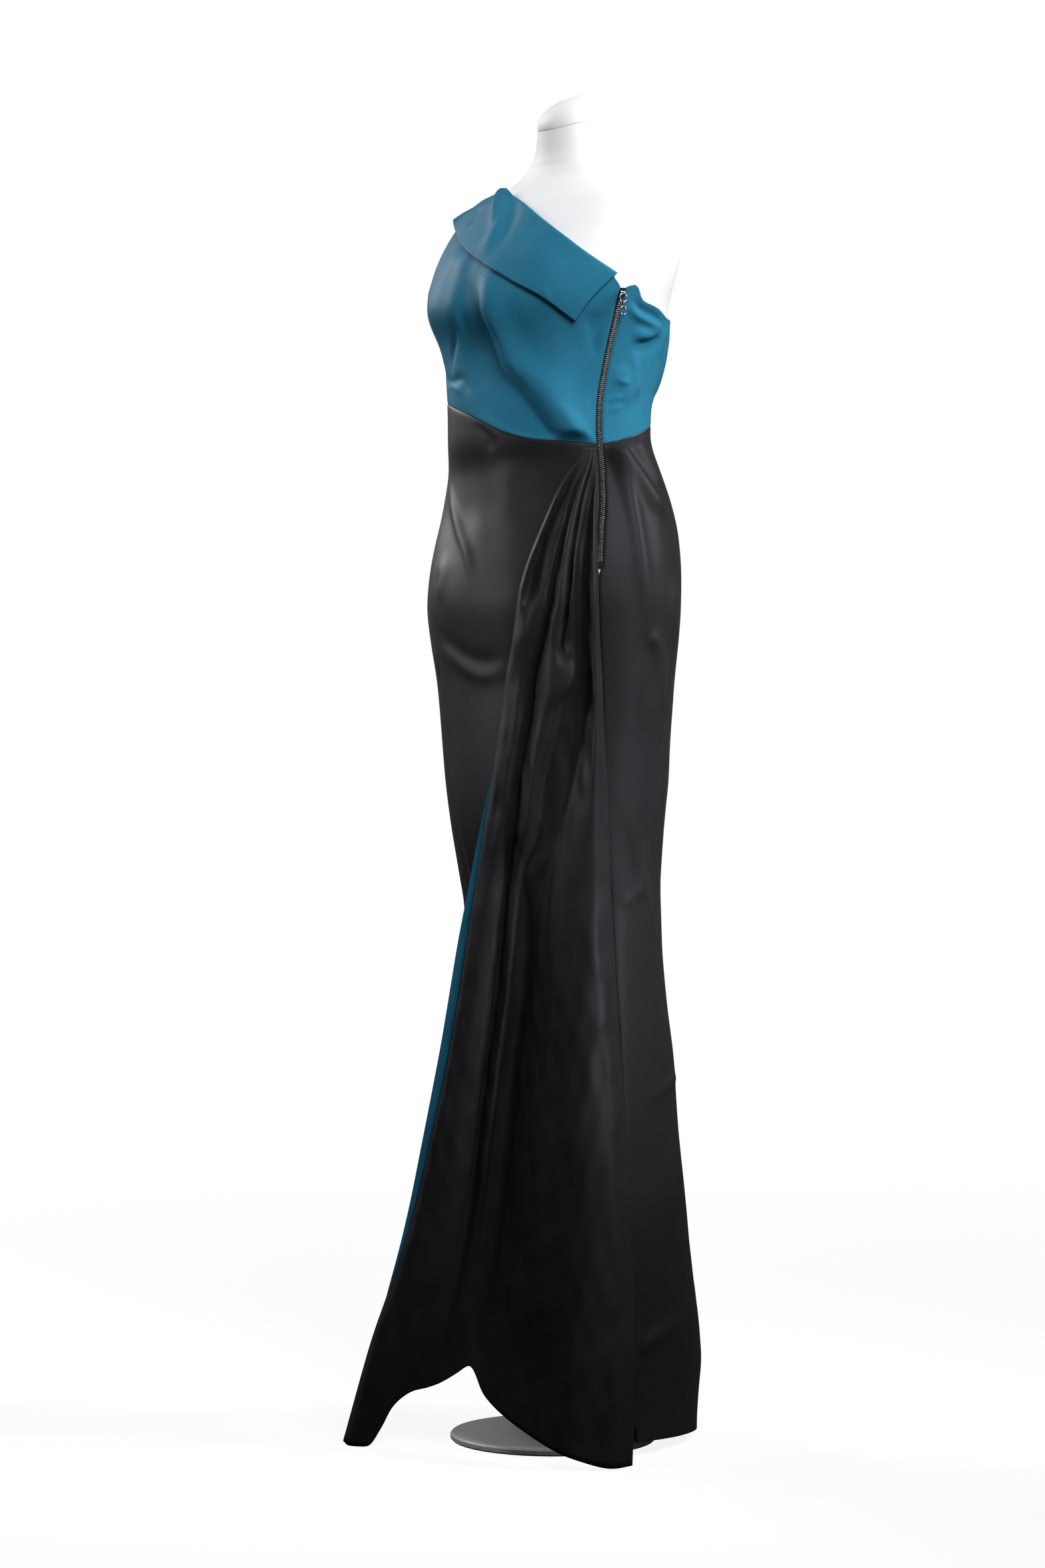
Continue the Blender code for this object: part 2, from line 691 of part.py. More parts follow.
def strip_on_zip(name, foot, top, half_width, lift, thickness, look, collection):
    heights = zip_heights(foot, top)
    sides = [along_ring(side_line(heights), heights, side * half_width) for side in (-1, 0, 1)]
    layout = np.stack([np.stack([azimuth, heights], axis=-1) for azimuth in sides], axis=1)
    points = on_figure(layout, np.full(layout.shape[:2], lift))
    return cloth_wall(name, points, thickness, look, collection)


def zip_frame():
    """The slider's place on the zip, with its axes across, along (up) and out."""
    azimuth = side_line(SLIDER_HEIGHT)
    place = figure(azimuth, SLIDER_HEIGHT)
    out = outward(azimuth, SLIDER_HEIGHT)
    above = figure(side_line(SLIDER_HEIGHT + 0.005), SLIDER_HEIGHT + 0.005)
    along = above - place
    along = along - out * (along @ out)
    along = along / np.linalg.norm(along)
    return Vector(place), Vector(np.cross(along, out)), Vector(along), Vector(out)


def pull_axis():
    """The point and the level direction that the pull swings on."""
    place, _, along, out = zip_frame()
    face = SLIDER_LIFT + SLIDER_SIZE[2]
    centre = place + out * (face + HINGE_STANDOFF) + along * HINGE_UP_SLIDER
    level = Vector((out.y, -out.x, 0)).normalized()
    return centre, level


def build_slider(collection, cutters):
    place, across, along, out = zip_frame()
    wide, tall, deep = SLIDER_SIZE
    turn = [[across[k], along[k], out[k]] for k in range(3)]
    shape = bmesh.new()
    bmesh.ops.create_cube(shape, size=1)
    for vert in shape.verts:
        local = (vert.co.x * wide, vert.co.y * tall, SLIDER_LIFT + (vert.co.z + 0.5) * deep)
        vert.co = place + Vector([sum(turn[k][m] * local[m] for m in range(3)) for k in range(3)])
    mesh = bpy.data.meshes.new("zip_slider")
    shape.to_mesh(mesh)
    shape.free()
    body = add_object("zip_slider", mesh, GUNMETAL, collection)
    soft = body.modifiers.new("soft edges", "BEVEL")
    soft.width = SLIDER_EDGE
    soft.segments = 2
    bridge = build_bridge(cutters)
    union = body.modifiers.new("bridge", "BOOLEAN")
    union.operation = "UNION"
    union.object = bridge


def build_bridge(cutters):
    """The loop on the slider's face that the first link hangs in, as a ring round the pull's axis."""
    centre, level = pull_axis()
    _, _, along, out = zip_frame()
    bpy.ops.mesh.primitive_torus_add(
        major_radius=BRIDGE_RADIUS, minor_radius=BRIDGE_WIRE, major_segments=20, minor_segments=8
    )
    ring_object = bpy.context.object
    ring_object.name = "slider_bridge_helper"
    ring_object.rotation_mode = "QUATERNION"
    ring_object.rotation_quaternion = level.to_track_quat("Z", "Y")
    ring_object.location = centre
    for owner in list(ring_object.users_collection):
        owner.objects.unlink(ring_object)
    cutters.objects.link(ring_object)
    ring_object.hide_render = True
    ring_object.display_type = "WIRE"
    return ring_object


def oval(width, length, sideways, down):
    """Points of a round-ended link whose top arc has its middle at the origin."""
    radius = width / 2 - LINK_WIRE
    straight = length - width
    points = []
    for start, drop in ((0, 0.0), (math.pi, straight)):
        for i in range(7):
            angle = start + math.pi * i / 6
            points.append(
                sideways * (radius * math.cos(angle)) - down * (radius * math.sin(angle) - radius - drop)
            )
    return points


def build_pull(collection):
    """Three links, each hung in the one above with a little play."""
    centre, level = pull_axis()
    out = Vector((-level.y, level.x, 0))
    down = Vector((0, 0, -1))
    top = centre
    for name, width, length, facing in LINKS:
        sideways = level if facing == "face" else out
        wire = bpy.data.curves.new(name, "CURVE")
        wire.dimensions = "3D"
        wire.bevel_depth = LINK_WIRE
        wire.bevel_resolution = 2
        spline = wire.splines.new("POLY")
        points = oval(width, length, sideways, down)
        spline.points.add(len(points) - 1)
        for slot, point in zip(spline.points, points):
            slot.co = (*point, 1)
        spline.use_cyclic_u = True
        link = add_object(name, wire, GUNMETAL, collection)
        link.location = top
        top = top + down * (length - 2 * LINK_WIRE - (2 * LINK_WIRE + LINK_CLEARANCE))


def build_zip(collection, cutters):
    strip_on_zip(
        "zip_tape", ZIP_FOOT, ZIP_TOP - TAPE_END, TAPE_HALF_WIDTH, 0.0, TAPE_THICKNESS, TAPE_CLOTH,
        collection,
    )
    chain_top = SLIDER_HEIGHT + SLIDER_SIZE[1] / 2
    strip_on_zip(
        "zip_chain", ZIP_FOOT + CHAIN_START, chain_top, CHAIN_HALF_WIDTH, CHAIN_LIFT,
        CHAIN_THICKNESS, GUNMETAL, collection,
    )
    build_slider(collection, cutters)
    build_pull(collection)


# ---------------------------------------------------------------------------- lining strip
def build_lining(collection):
    """A strip behind the free edge of the drape that shows past it."""
    first, last = LINING_ROWS
    edge = drape_place()[first : last + 1, : LINING_TUCK + 2]
    into = np.stack(
        [edge[:, 1] - edge[:, 0]] + [edge[:, k + 1] - edge[:, k - 1] for k in range(1, LINING_TUCK + 1)],
        axis=1,
    )
    into[..., 2] = 0
    into = into / np.linalg.norm(into, axis=-1, keepdims=True)
    behind = np.stack([into[..., 1], -into[..., 0], np.zeros(into.shape[:2])], axis=-1)
    tucked = edge[:, : LINING_TUCK + 1] + behind * (LINING_WALL + LINING_GAP)
    shows = LINING_SHOWS * np.sqrt(np.sin(np.pi * np.linspace(*LINING_FADE, len(edge))))
    past = tucked[:, :1] - np.array([1.0, LINING_DROOP, 0]) * shows[:, None, None]
    sheet = off_the_skirt(np.concatenate([past, tucked], axis=1), SKIRT_CLEARANCE)
    cloth_wall("drape_lining", quarter_to_frame(sheet)[::-1], LINING_WALL, TEAL_SATIN, collection)


# ---------------------------------------------------------------------------- form and stand
def neck_tilt(height, y):
    """How far a point of the neck is moved up, or down in front, by the slanting cut."""
    share = np.clip((height - NECK_TILT_FROM) / (FORM_HEIGHTS[-1] - NECK_TILT_FROM), 0, 1)
    return share * math.tan(NECK_TILT) * (y - ring("centre", height))


def form_ring(height, segments):
    table = np.array(EASE_MM) * MM
    ease = np.interp(height, table[:, 0], table[:, 1])
    azimuth = np.arange(segments) * 360.0 / segments - 180
    level = np.full(segments, height)
    points = figure(azimuth, level) - ease * outward(azimuth, level)
    points[:, 2] = height + neck_tilt(height, points[:, 1])
    return points


def build_form(collection):
    rings = np.array([form_ring(height, FORM_SEGMENTS) for height in FORM_HEIGHTS])
    closed_loft("form_torso", rings, FORM_SKIN, collection)
    neck = form_ring(FORM_HEIGHTS[-1], CAP_SEGMENTS)
    middle = neck.mean(axis=0)
    normal = np.array([0, -math.sin(NECK_TILT), math.cos(NECK_TILT)])
    domes = []
    for i in range(CAP_RINGS + 1):
        angle = math.pi / 2 * i / (CAP_RINGS + CAP_FLAT)
        inward = middle + (neck - middle) * math.cos(angle)
        domes.append(inward + normal * (FIT_GAP * 2 + CAP_RISE * math.sin(angle)))
    closed_loft("form_neck_cap", np.array(domes), FORM_SKIN, collection)


def build_stand(collection):
    cylinder(
        "stand_pole", POLE_RADIUS, BASE_THICKNESS + FIT_GAP, FORM_FOOT - FIT_GAP, BASE_CENTRE, 20,
        STAND_PAINT, collection,
    )
    base = cylinder(
        "stand_base", BASE_RADIUS, 0, BASE_THICKNESS, BASE_CENTRE, 44, STAND_PAINT, collection
    )
    rim = base.modifiers.new("rounded rim", "BEVEL")
    rim.width = BASE_RIM
    rim.segments = 1
    rim.limit_method = "ANGLE"
    rim.angle_limit = SHARP_FROM


def main():
    clear_scene()
    gown = new_collection("evening_gown_on_dress_form")
    cutters = new_collection("helpers")
    build_form(gown)
    build_stand(gown)
    build_bodice(gown)
    build_flap(gown)
    build_skirt(gown)
    build_drape(gown)
    build_lining(gown)
    build_zip(gown, cutters)


main()
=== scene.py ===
"""Finish of the evening gown: satin shells with their folds, zip, pull and stitches, and the dress form.

Frame: metres, +Z up, -Y the front of the figure, +X the figure's left, the floor at height 0. A place on
the gown is an azimuth round the body (0 is the figure's left side, -90 its front, 90 its back) and a
height. The side drape is laid out on the quarter it hangs on: across (towards the back left) and out.
"""

import json
import math

import bmesh
import bpy
import numpy as np
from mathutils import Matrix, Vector


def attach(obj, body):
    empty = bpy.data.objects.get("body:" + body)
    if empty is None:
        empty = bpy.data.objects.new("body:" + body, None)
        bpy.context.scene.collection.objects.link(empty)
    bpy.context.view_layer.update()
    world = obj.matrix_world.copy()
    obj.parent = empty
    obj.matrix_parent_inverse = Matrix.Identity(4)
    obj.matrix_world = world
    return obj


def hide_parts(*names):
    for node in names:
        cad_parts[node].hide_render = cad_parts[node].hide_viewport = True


MM = 0.001
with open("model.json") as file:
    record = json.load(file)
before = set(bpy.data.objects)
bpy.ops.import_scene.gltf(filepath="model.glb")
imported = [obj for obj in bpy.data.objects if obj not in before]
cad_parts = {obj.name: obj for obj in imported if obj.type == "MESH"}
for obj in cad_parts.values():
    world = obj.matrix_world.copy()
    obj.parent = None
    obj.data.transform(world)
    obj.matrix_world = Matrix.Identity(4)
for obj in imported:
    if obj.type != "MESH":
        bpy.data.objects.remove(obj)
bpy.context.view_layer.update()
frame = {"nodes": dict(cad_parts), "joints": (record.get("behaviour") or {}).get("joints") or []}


# ---------------- figure and seams
RING_COLUMNS = ("height", "half_width", "front", "back", "centre")
RINGS_MM = (
    (0, 145, 90, 170, 0), (53, 144, 88, 175, 0), (89, 143, 86, 181, 0), (124, 142, 84, 178, 0),
    (178, 140, 82, 167, 0), (250, 138, 79, 156, 0), (340, 134, 76, 143, 0), (411, 131, 74, 137, 0),
    (483, 129, 72, 124, 0), (555, 128, 71, 114, 0), (591, 128, 72, 112, 0), (626, 131, 80, 108, 0),
    (680, 137, 92, 109, 0), (734, 144, 98, 113, 0), (788, 151, 101, 111, 0), (842, 159, 103, 110, 0),
    (895, 167, 112, 112, 0), (931, 170, 117, 113, 0), (967, 168, 113, 116, 0), (1003, 162, 105, 117, 0),
    (1039, 153, 97, 111, 0), (1075, 142, 96, 96, 0), (1110, 134, 105, 81, 0), (1146, 131, 107, 87, 0),
    (1182, 136, 105, 105, 0), (1218, 145, 107, 112, 1), (1254, 157, 118, 100, 6),
    (1290, 170, 112, 97, 15), (1308, 175, 105, 98, 18), (1326, 177, 94, 97, 22),
    (1343, 176, 80, 93, 24), (1361, 170, 66, 86, 26), (1378, 158, 52, 76, 28), (1395, 121, 36, 74, 30),
    (1410, 84, 21, 78, 32), (1422, 66, 16, 82, 33), (1440, 54, 12, 84, 35), (1482, 48, 11, 85, 37),
)
RING_STEP = 0.001
RING_SOFTNESS = 8  # steps over which the rings are evened out, so that the satin shows no bands
SIDE_BLEND = 0.12  # how gently the front half of a ring turns into its back half
BUST_AZIMUTHS = (-55, -125)
BUST_HEIGHT = 1.262
BUST_SPREAD = (24, 0.036)  # degrees round, metres up
BUST_FULLNESS = 0.009

SIDE_LINE = (  # height, azimuth
    (0.000, -2), (0.100, -2.5), (0.235, -4.5), (0.310, -6), (0.458, -10.5), (0.510, -13.5),
    (0.598, -17), (0.688, -21), (0.815, -27), (0.886, -30), (0.950, -30.8), (1.000, -30),
    (1.050, -27), (1.100, -23.2), (1.150, -20.8), (1.205, -19), (1.238, -18), (1.300, -19.5),
)
RIGHT_SIDE = 180
WAIST = (
    (-180, 1.165), (-158, 1.164), (-133, 1.158), (-102, 1.141), (-87, 1.128), (-77, 1.118),
    (-68, 1.111), (-58, 1.106), (-36, 1.102), (-25, 1.100), (-16, 1.102), (-6, 1.107), (19, 1.119),
    (50, 1.133), (90, 1.147), (135, 1.159), (180, 1.165),
)
WAIST_LEAN_AT = 0.012  # how far from the waist seam the lean of the walls is taken
WAIST_LEAN = 1.2  # how far a leaning wall keeps from the seam, for its lean and thickness
NEAR_WAIST = 1.1  # height from which the waist seam is looked for beside the zip
ZIP_TOP = 1.268
ZIP_FOOT = 0.968
ZIP_CLOSE = 0.012  # length over which the cloth closes below the zip
FRONT_NECKLINE = (
    (-180, 1.405), (-166, 1.401), (-148, 1.391), (-130, 1.386), (-114, 1.3875), (-104, 1.3865),
    (-96, 1.381), (-82, 1.3655), (-66, 1.340), (-53, 1.3195), (-41, 1.3015), (-31, 1.288),
    (-24, 1.279), (-18.6, ZIP_TOP),
)
BACK_NECKLINE = (
    (-18.6, ZIP_TOP), (-15, 1.271), (-7, 1.255), (6, 1.249), (24, 1.241), (55, 1.243), (90, 1.268),
    (120, 1.318), (150, 1.375), (180, 1.405),
)
ARMHOLE_FOOT = 1.235
SHOULDER_POINT = 1.377
FRONT_ARMHOLE = (
    (-180, ARMHOLE_FOOT), (-160, 1.248), (-146, 1.275), (-139, 1.310), (-142, 1.345), (-158, 1.368),
    (-180, SHOULDER_POINT),
)
BACK_ARMHOLE = (
    (180, ARMHOLE_FOOT), (160, 1.250), (150, 1.280), (147, 1.315), (152, 1.348), (164, 1.368),
    (180, SHOULDER_POINT),
)
FRONT_HEM = (
    (-180, 0.085), (-160, 0.100), (-130, 0.112), (-100, 0.115), (-60, 0.115), (-30, 0.090),
    (-2, 0.030),
)
BACK_HEM = (
    (-2, 0.016), (30, 0.012), (90, 0.004), (140, 0.006), (160, 0.022), (172, 0.058), (180, 0.085),
)
FLAP_FOLD = (
    (-172, 1.4085), (-160, 1.4025), (-148, 1.3955), (-136, 1.3905), (-124, 1.390), (-114, 1.3925),
    (-107, 1.393), (-98, 1.387), (-90, 1.3795), (-82, 1.369), (-66, 1.3435), (-53, 1.323),
    (-41, 1.3045), (-31, 1.291), (-24.3, 1.2825),
)
FLAP_EDGE = (
    (-153, 1.369), (-150, 1.3675), (-147, 1.3655), (-143, 1.3635), (-138, 1.361), (-130, 1.356),
    (-124, 1.351), (-112, 1.336), (-102, 1.3225), (-92, 1.3085), (-82, 1.295), (-66, 1.2745),
    (-51, 1.257), (-37.5, 1.2335),
)
FLAP_LIFT = (  # share of the way to the zip, lift at the fold, lift at the free edge
    (0.00, 0.0022, 0.0120), (0.03, 0.0022, 0.0070), (0.06, 0.0022, 0.0040), (0.10, 0.0022, 0.0028),
    (0.22, 0.0022, 0.0026), (0.45, 0.0022, 0.0028), (0.80, 0.0022, 0.0032), (1.00, 0.0026, 0.0060),
)

# Cloth: how thick each piece looks, and how far its middle lies off the figure
SATIN = 0.0008
CLOTH_LIFT = 0.00075
CLOTH_FLOOR = 0.0014  # the deepest that a crease may dip towards the form
SEAM_GAP = 0.0003
SHOULDER_SEAM_GAP = 0.0012
PANEL_WALL = 0.0015  # of the plain solids
PANEL_TO_ZIP = 0.0035  # from the middle of the zip to the cloth beside it
SEAM_ROLL = (0.0007, 0.0022)  # depth and width of the dip beside a seam
EDGE_STEPS = (0.0007, 0.0016, 0.0032)  # where the close rows beside an edge lie

# ---------------- folds of the side drape
DRAPE_QUARTER = math.radians(50)
ACROSS = np.array([math.cos(DRAPE_QUARTER), math.sin(DRAPE_QUARTER), 0])
OUT = np.array([math.sin(DRAPE_QUARTER), -math.cos(DRAPE_QUARTER), 0])
FOLD_COLUMNS = (  # name, how far across the drape it lies, meshes to the next one
    ("edge", 0, 7), ("roll", 5, 9), ("pocket", 15, 9), ("lip", 26, 8), ("panel", 37, 10),
    ("valley_1", 50, 9), ("fold_2", 58, 6), ("fold_2_right", 63, 6), ("slit", 67, 7),
    ("fold_3", 72, 11), ("valley_2", 84, 9), ("rise", 100, 13), ("face", 130, 14),
    ("crest_3", 165, 12), ("turn", 187, 10), ("seam", 206, 0),
)
# Height, then across and lift off the skirt of each fold, in mm
PINNED_FOLDS_MM = (
    (1098, 33, 1.5, 34.5, 3, 35.5, 1.5, 36.5, 2.5, 37.5, 3, 38.3, 1.5, 39.3, 3.5, 40.3, 2.8, 41, 1.8,
     41.8, 3.5, 42.6, 1.5, 43.2, 2, 43.6, 2.6, 43.9, 3, 44.2, 2.4, 44.5, 1.5),
    (1085, 26, 2.5, 29, 5, 31, 3, 33.5, 4, 35.5, 4.5, 37, 2, 39, 6, 41, 4.5, 41.7, 2.5, 42.7, 6, 43.5, 2.5,
     44.2, 2.5, 44.6, 3.4, 44.9, 4, 45.2, 3, 45.5, 2),
    (1070, 15, 3, 18, 8, 21, 4, 25, 6, 29, 7, 31.5, 3, 34.5, 9, 38, 7, 39, 4, 40.5, 9, 42.5, 3, 44, 3,
     44.8, 4.8, 45.2, 6, 45.6, 4.6, 46, 3),
    (1045, 1, 3, 4, 12, 8, 5, 13, 8, 18, 9, 21, 3, 26, 13, 30.5, 10, 31.5, 6, 33.5, 13, 37.5, 3, 40, 4, 42, 7,
     43.5, 9, 45, 6.8, 46, 4),
    (1010, -14, 4, -11, 15, -6, 6, 0, 10, 9, 12, 12.5, 4, 18, 17, 23, 13, 24.3, 8, 27, 17, 32, 4, 36, 6,
     39.5, 10.5, 42, 13, 44.4, 10, 46, 6),
    (975, -28, 4, -25, 18, -19, 6, -11, 11, 0, 13, 4, 4, 11, 20, 17.5, 15, 19, 8, 21.5, 18, 27, 4, 34, 8,
     38.5, 13.5, 42, 16, 45, 12.5, 47, 7),
    (950, -36, 5, -33, 20, -26, 6, -15, 10, -6, 14, -1, 5, 8, 22, 15, 17, 16.5, 9, 19.5, 19, 26, 4, 34, 9,
     38.5, 14.5, 42, 17, 45, 13.5, 47, 8),
    (938, -39, 5, -36, 21, -28, 7, -18, 9, -9, 15, -3, 5, 6, 22, 13.5, 17.5, 15, 9.5, 18.5, 19, 25.5, 4,
     34.5, 9, 38.7, 14.8, 42.3, 17.5, 45.2, 13.8, 47.3, 8),
    (928, -40, 6, -37, 21, -29, 18, -20, 19, -10, 17, -3.5, 5, 5, 22, 12, 18, 13.5, 10, 17, 19, 25, 4, 35, 9,
     39, 15, 42.5, 18, 45.4, 14, 47.5, 8),
    (905, -43, 7, -40, 21, -32, 23, -24, 22, -15, 17, -9, 5, 0, 22, 8.5, 19, 11, 9, 15.5, 17, 25, 4, 35.5, 9,
     39.5, 15, 43, 18, 46, 14, 48, 8),
    (875, -47, 7, -44, 20, -37, 22, -30, 21, -21, 15, -15, 5, -8, 20, 3, 22, 6, 10, 9.5, 12, 24, 4, 36, 9,
     40, 15, 43.5, 18, 47, 14, 49.5, 8),
    (863, -49.5, 7, -46.5, 20, -39.5, 21, -32.5, 20, -24, 14, -18, 5, -11.5, 20, 0, 24, 12, 22, 21, 20, 24, 5,
     37, 9, 40, 15, 44, 18.5, 47.5, 14.2, 50, 8),
    (857, -51, 7, -48, 20, -41, 21, -34, 20, -25.5, 14, -19.5, 5, -13, 19, 0, 25, 11, 25, 21, 21, 24.5, 5,
     37.5, 9, 40, 15, 44.5, 19, 48, 14.5, 50.5, 8),
    (840, -53, 7, -50, 20, -43, 21, -36, 20, -28, 14, -22, 5, -15, 19, -2, 25, 8, 26, 17, 22, 21, 5, 37.5, 9,
     40.5, 15, 44.8, 19, 48.5, 14.5, 51, 8),
    (828, -54.5, 7, -51.5, 20, -44.5, 21, -37.5, 20, -29.5, 14, -23.5, 5, -16.5, 19, -5, 24, 3, 25, 11, 22,
     15, 5, 37, 9, 40.5, 14.8, 45, 19.5, 48.8, 14.8, 51.7, 8),
    (820, -55.4, 7, -52.4, 20, -45.4, 21, -38.4, 20, -30.4, 14, -24.4, 5, -17.4, 18.4, -7.4, 23, -1, 22,
     4, 20, 8, 4.5, 35.2, 7.2, 40.2, 14.6, 45, 19.8, 48.9, 14.9, 52.2, 8),
    (815, -56, 7, -53, 20, -46, 21, -39, 20, -31, 14, -25, 5, -18, 18, -9, 22, -3, 21, 2, 15, 10, 4, 34, 6,
     40, 14.5, 45, 20, 49, 15, 52.5, 8),
    (780, -61, 8, -58, 21, -51, 21, -44, 20, -37, 14, -30, 5, -24, 17, -15, 21, -9, 19, -3, 13, 4, 4, 29, 5,
     38, 15, 45, 21, 50, 16, 54.5, 8),
    (735, -67.5, 9, -64, 22, -58, 21, -51, 20, -44, 14, -37, 6, -31, 16, -24, 20, -20, 18, -16, 12, -8, 4,
     20, 5, 34, 16, 44, 22, 51, 16.5, 57, 7),
    (686, -76, 10, -73, 22, -66, 21, -58, 20, -50, 14, -42, 7, -36, 16, -30, 19, -26, 17, -22, 12, -14, 5,
     8, 6, 28, 17, 43, 23, 52, 17, 59, 6),
)
# Height, then across and out of each fold, in mm
FREE_FOLDS_MM = (
    (620, -86, 52, -83, 68, -75, 76, -67, 80, -60, 78, -51, 68, -45, 82, -41, 86, -38, 84, -36, 82, -24, 82,
     -8, 104, 9, 127, 42, 140, 53, 135, 61.5, 120),
    (560, -96, 47, -92, 66, -84, 74, -75, 78, -67, 77, -57, 66, -50, 82, -46, 86, -43.5, 84, -41, 78, -30, 75,
     -13, 104, 6, 130, 41, 144, 54, 136, 64.5, 119),
    (500, -105, 48, -101, 66, -92, 73, -82, 77, -73, 76, -63, 66, -55.5, 82, -52, 86, -49, 83, -46, 77,
     -34, 73, -20, 100, 0, 130, 39, 148, 55, 142, 68, 124),
    (445, -114, 49, -110, 66, -100, 73, -90, 77, -80, 76, -70, 66, -63, 82, -59.5, 85, -57, 82, -54, 76,
     -42, 71, -30, 91, -6, 130, 37, 152, 56, 148, 71.5, 130),
    (380, -127, 49, -123, 65, -113, 72, -101, 76, -90, 75, -78, 65, -70.5, 80, -67, 83, -64.5, 80, -61, 74,
     -49, 71, -36, 93, -10, 134, 36, 159, 58, 155, 76, 137),
    (330, -138, 48, -134, 64, -123, 71, -110, 75, -98, 73, -84, 64, -77, 78, -73.5, 80, -71, 78, -67.5, 72,
     -55, 72, -41, 95, -12, 139, 36, 165, 59, 161, 79, 143),
    (270, -152, 46, -147, 62, -135, 69, -121, 73, -108, 71, -92, 64, -84, 76, -80.5, 78, -78, 76, -74.5, 72,
     -61, 74, -46, 98, -15, 144, 35, 172, 61, 168, 82.5, 151),
    (220, -166, 44, -160, 60, -147, 67, -132, 70, -117, 69, -100, 64, -91, 74, -87, 76, -84.5, 75, -81, 73,
     -67, 77, -50, 101, -17, 148, 34, 178, 62, 174, 85, 158),
    (160, -186, 41, -180, 57, -166, 64, -149, 67, -131, 67, -113, 66, -104, 72, -99, 74, -95, 75, -91, 76,
     -77, 82, -58, 108, -20, 153, 30, 186, 62, 182, 86, 168),
    (120, -200, 39, -194, 56, -179, 62, -160, 65, -141, 66, -124, 67, -115, 71, -108, 75, -103, 77, -98, 80,
     -86, 89, -66, 108, -19, 151, 26, 191, 61, 188, 87, 175),
)
HEM_FOLDS_MM = (  # across, out and height
    (-233, 34, 3), (-226, 50, 0.5), (-206, 58, 1), (-191, 58, 20), (-178, 57, 44), (-156, 60, 62),
    (-140, 66, 67), (-128, 72, 72), (-118, 78, 78), (-108, 84, 85), (-92, 96, 96), (-76, 112, 66),
    (-32, 150, 33), (20, 196, 12), (60, 196, 2), (83, 182, 3),
)
DRAPE_ROWS = 210
DRAPE_SOFTNESS = (1.3, 1.1)  # meshes, down and across
DRAPE_CLEARANCE = 0.0030  # at least this far outside the skirt
FOLD_SHARPNESS = 0.35  # how much the gathers stand out beyond the plain solid
FOLD_MIDDLE = 0.013  # the lift off the skirt that it leaves as it is
FOLD_FLOOR = 0.0015  # the least lift off the skirt
LINING_REACH = (0.33, 0.885)  # share of the way down the drape where the strip starts and ends
LINING_SHOWS = 0.0118  # width of the strip at its middle
LINED_BELOW = 0.80  # height below which the drape's inner face is teal
LINING_TUCK = 0.012  # how far the strip runs on behind the drape
LINING_DROOP = 0.35  # how much the strip turns back towards the skirt


# ---------------- curves and rings
def smooth(x, knots, values):
    """A smooth curve through the knots that never swings past them."""
    x, knots, values = (np.asarray(numbers, float) for numbers in (x, knots, values))
    run = np.diff(knots)
    slope = np.diff(values) / run
    same_way = slope[:-1] * slope[1:] > 0
    total = np.where(same_way, slope[:-1] + slope[1:], 1.0)
    inner = np.where(same_way, 2 * slope[:-1] * slope[1:] / total, 0.0)
    tangent = np.concatenate([slope[:1], inner, slope[-1:]])
    i = np.clip(np.searchsorted(knots, x) - 1, 0, len(run) - 1)
    t = (x - knots[i]) / run[i]
    return (
        (2 * t**3 - 3 * t**2 + 1) * values[i]
        + (t**3 - 2 * t**2 + t) * run[i] * tangent[i]
        + (3 * t**2 - 2 * t**3) * values[i + 1]
        + (t**3 - t**2) * run[i] * tangent[i + 1]
    )


def soften(values, spread, axis=0):
    """Evens out a run of values with a bell-shaped average that leaves both its ends in place."""
    values = np.moveaxis(np.asarray(values, float), axis, 0)
    reach = int(3 * spread) + 1
    before = 2 * values[0] - values[reach:0:-1]
    after = 2 * values[-1] - values[-2 : -reach - 2 : -1]
    run = np.concatenate([before, values, after])
    weight = np.exp(-0.5 * (np.arange(-reach, reach + 1) / spread) ** 2)
    weight /= weight.sum()
    evened = sum(share * run[k : k + len(values)] for k, share in enumerate(weight))
    return np.moveaxis(evened, 0, axis)


def soft_rings():
    rings = dict(zip(RING_COLUMNS, np.array(RINGS_MM, float).T * MM))
    heights = np.arange(rings["height"][0], rings["height"][-1] + RING_STEP, RING_STEP)
    table = {"height": heights}
    for column in RING_COLUMNS[1:]:
        table[column] = soften(smooth(heights, rings["height"], rings[column]), RING_SOFTNESS)
    return table


RINGS = soft_rings()


def ring(column, height):
    return np.interp(height, RINGS["height"], RINGS[column])


def bust(azimuth, height):
    turn, up = BUST_SPREAD
    bulge = sum(np.exp(-(((azimuth - apex) / turn) ** 2)) for apex in BUST_AZIMUTHS)
    return BUST_FULLNESS * bulge * np.exp(-(((height - BUST_HEIGHT) / up) ** 2))


def figure(azimuth, height):
    """Points on the figure's surface, as an array whose last axis is x, y, z."""
    azimuth, height = np.broadcast_arrays(np.asarray(azimuth, float), np.asarray(height, float))
    turn = np.radians(azimuth)
    centre = ring("centre", height)
    front = ring("front", height) + centre
    back = ring("back", height) - centre
    to_back = 0.5 + 0.5 * np.tanh(np.sin(turn) / SIDE_BLEND)
    x = ring("half_width", height) * np.cos(turn)
    y = centre + (front + (back - front) * to_back) * np.sin(turn) - bust(azimuth, height)
    return np.stack([x, y, height], axis=-1)


def unit(vectors):
    return vectors / np.linalg.norm(vectors, axis=-1, keepdims=True)


def outward(azimuth, height):
    """Unit normals of the figure's surface."""
    turn, rise = 1.0, 0.002
    around = figure(azimuth + turn, height) - figure(azimuth - turn, height)
    up = figure(azimuth, height + rise) - figure(azimuth, height - rise)
    return unit(np.cross(around, up))


def on_figure(layout, lift):
    azimuth, height = layout[..., 0], layout[..., 1]
    return figure(azimuth, height) + np.asarray(lift)[..., None] * outward(azimuth, height)


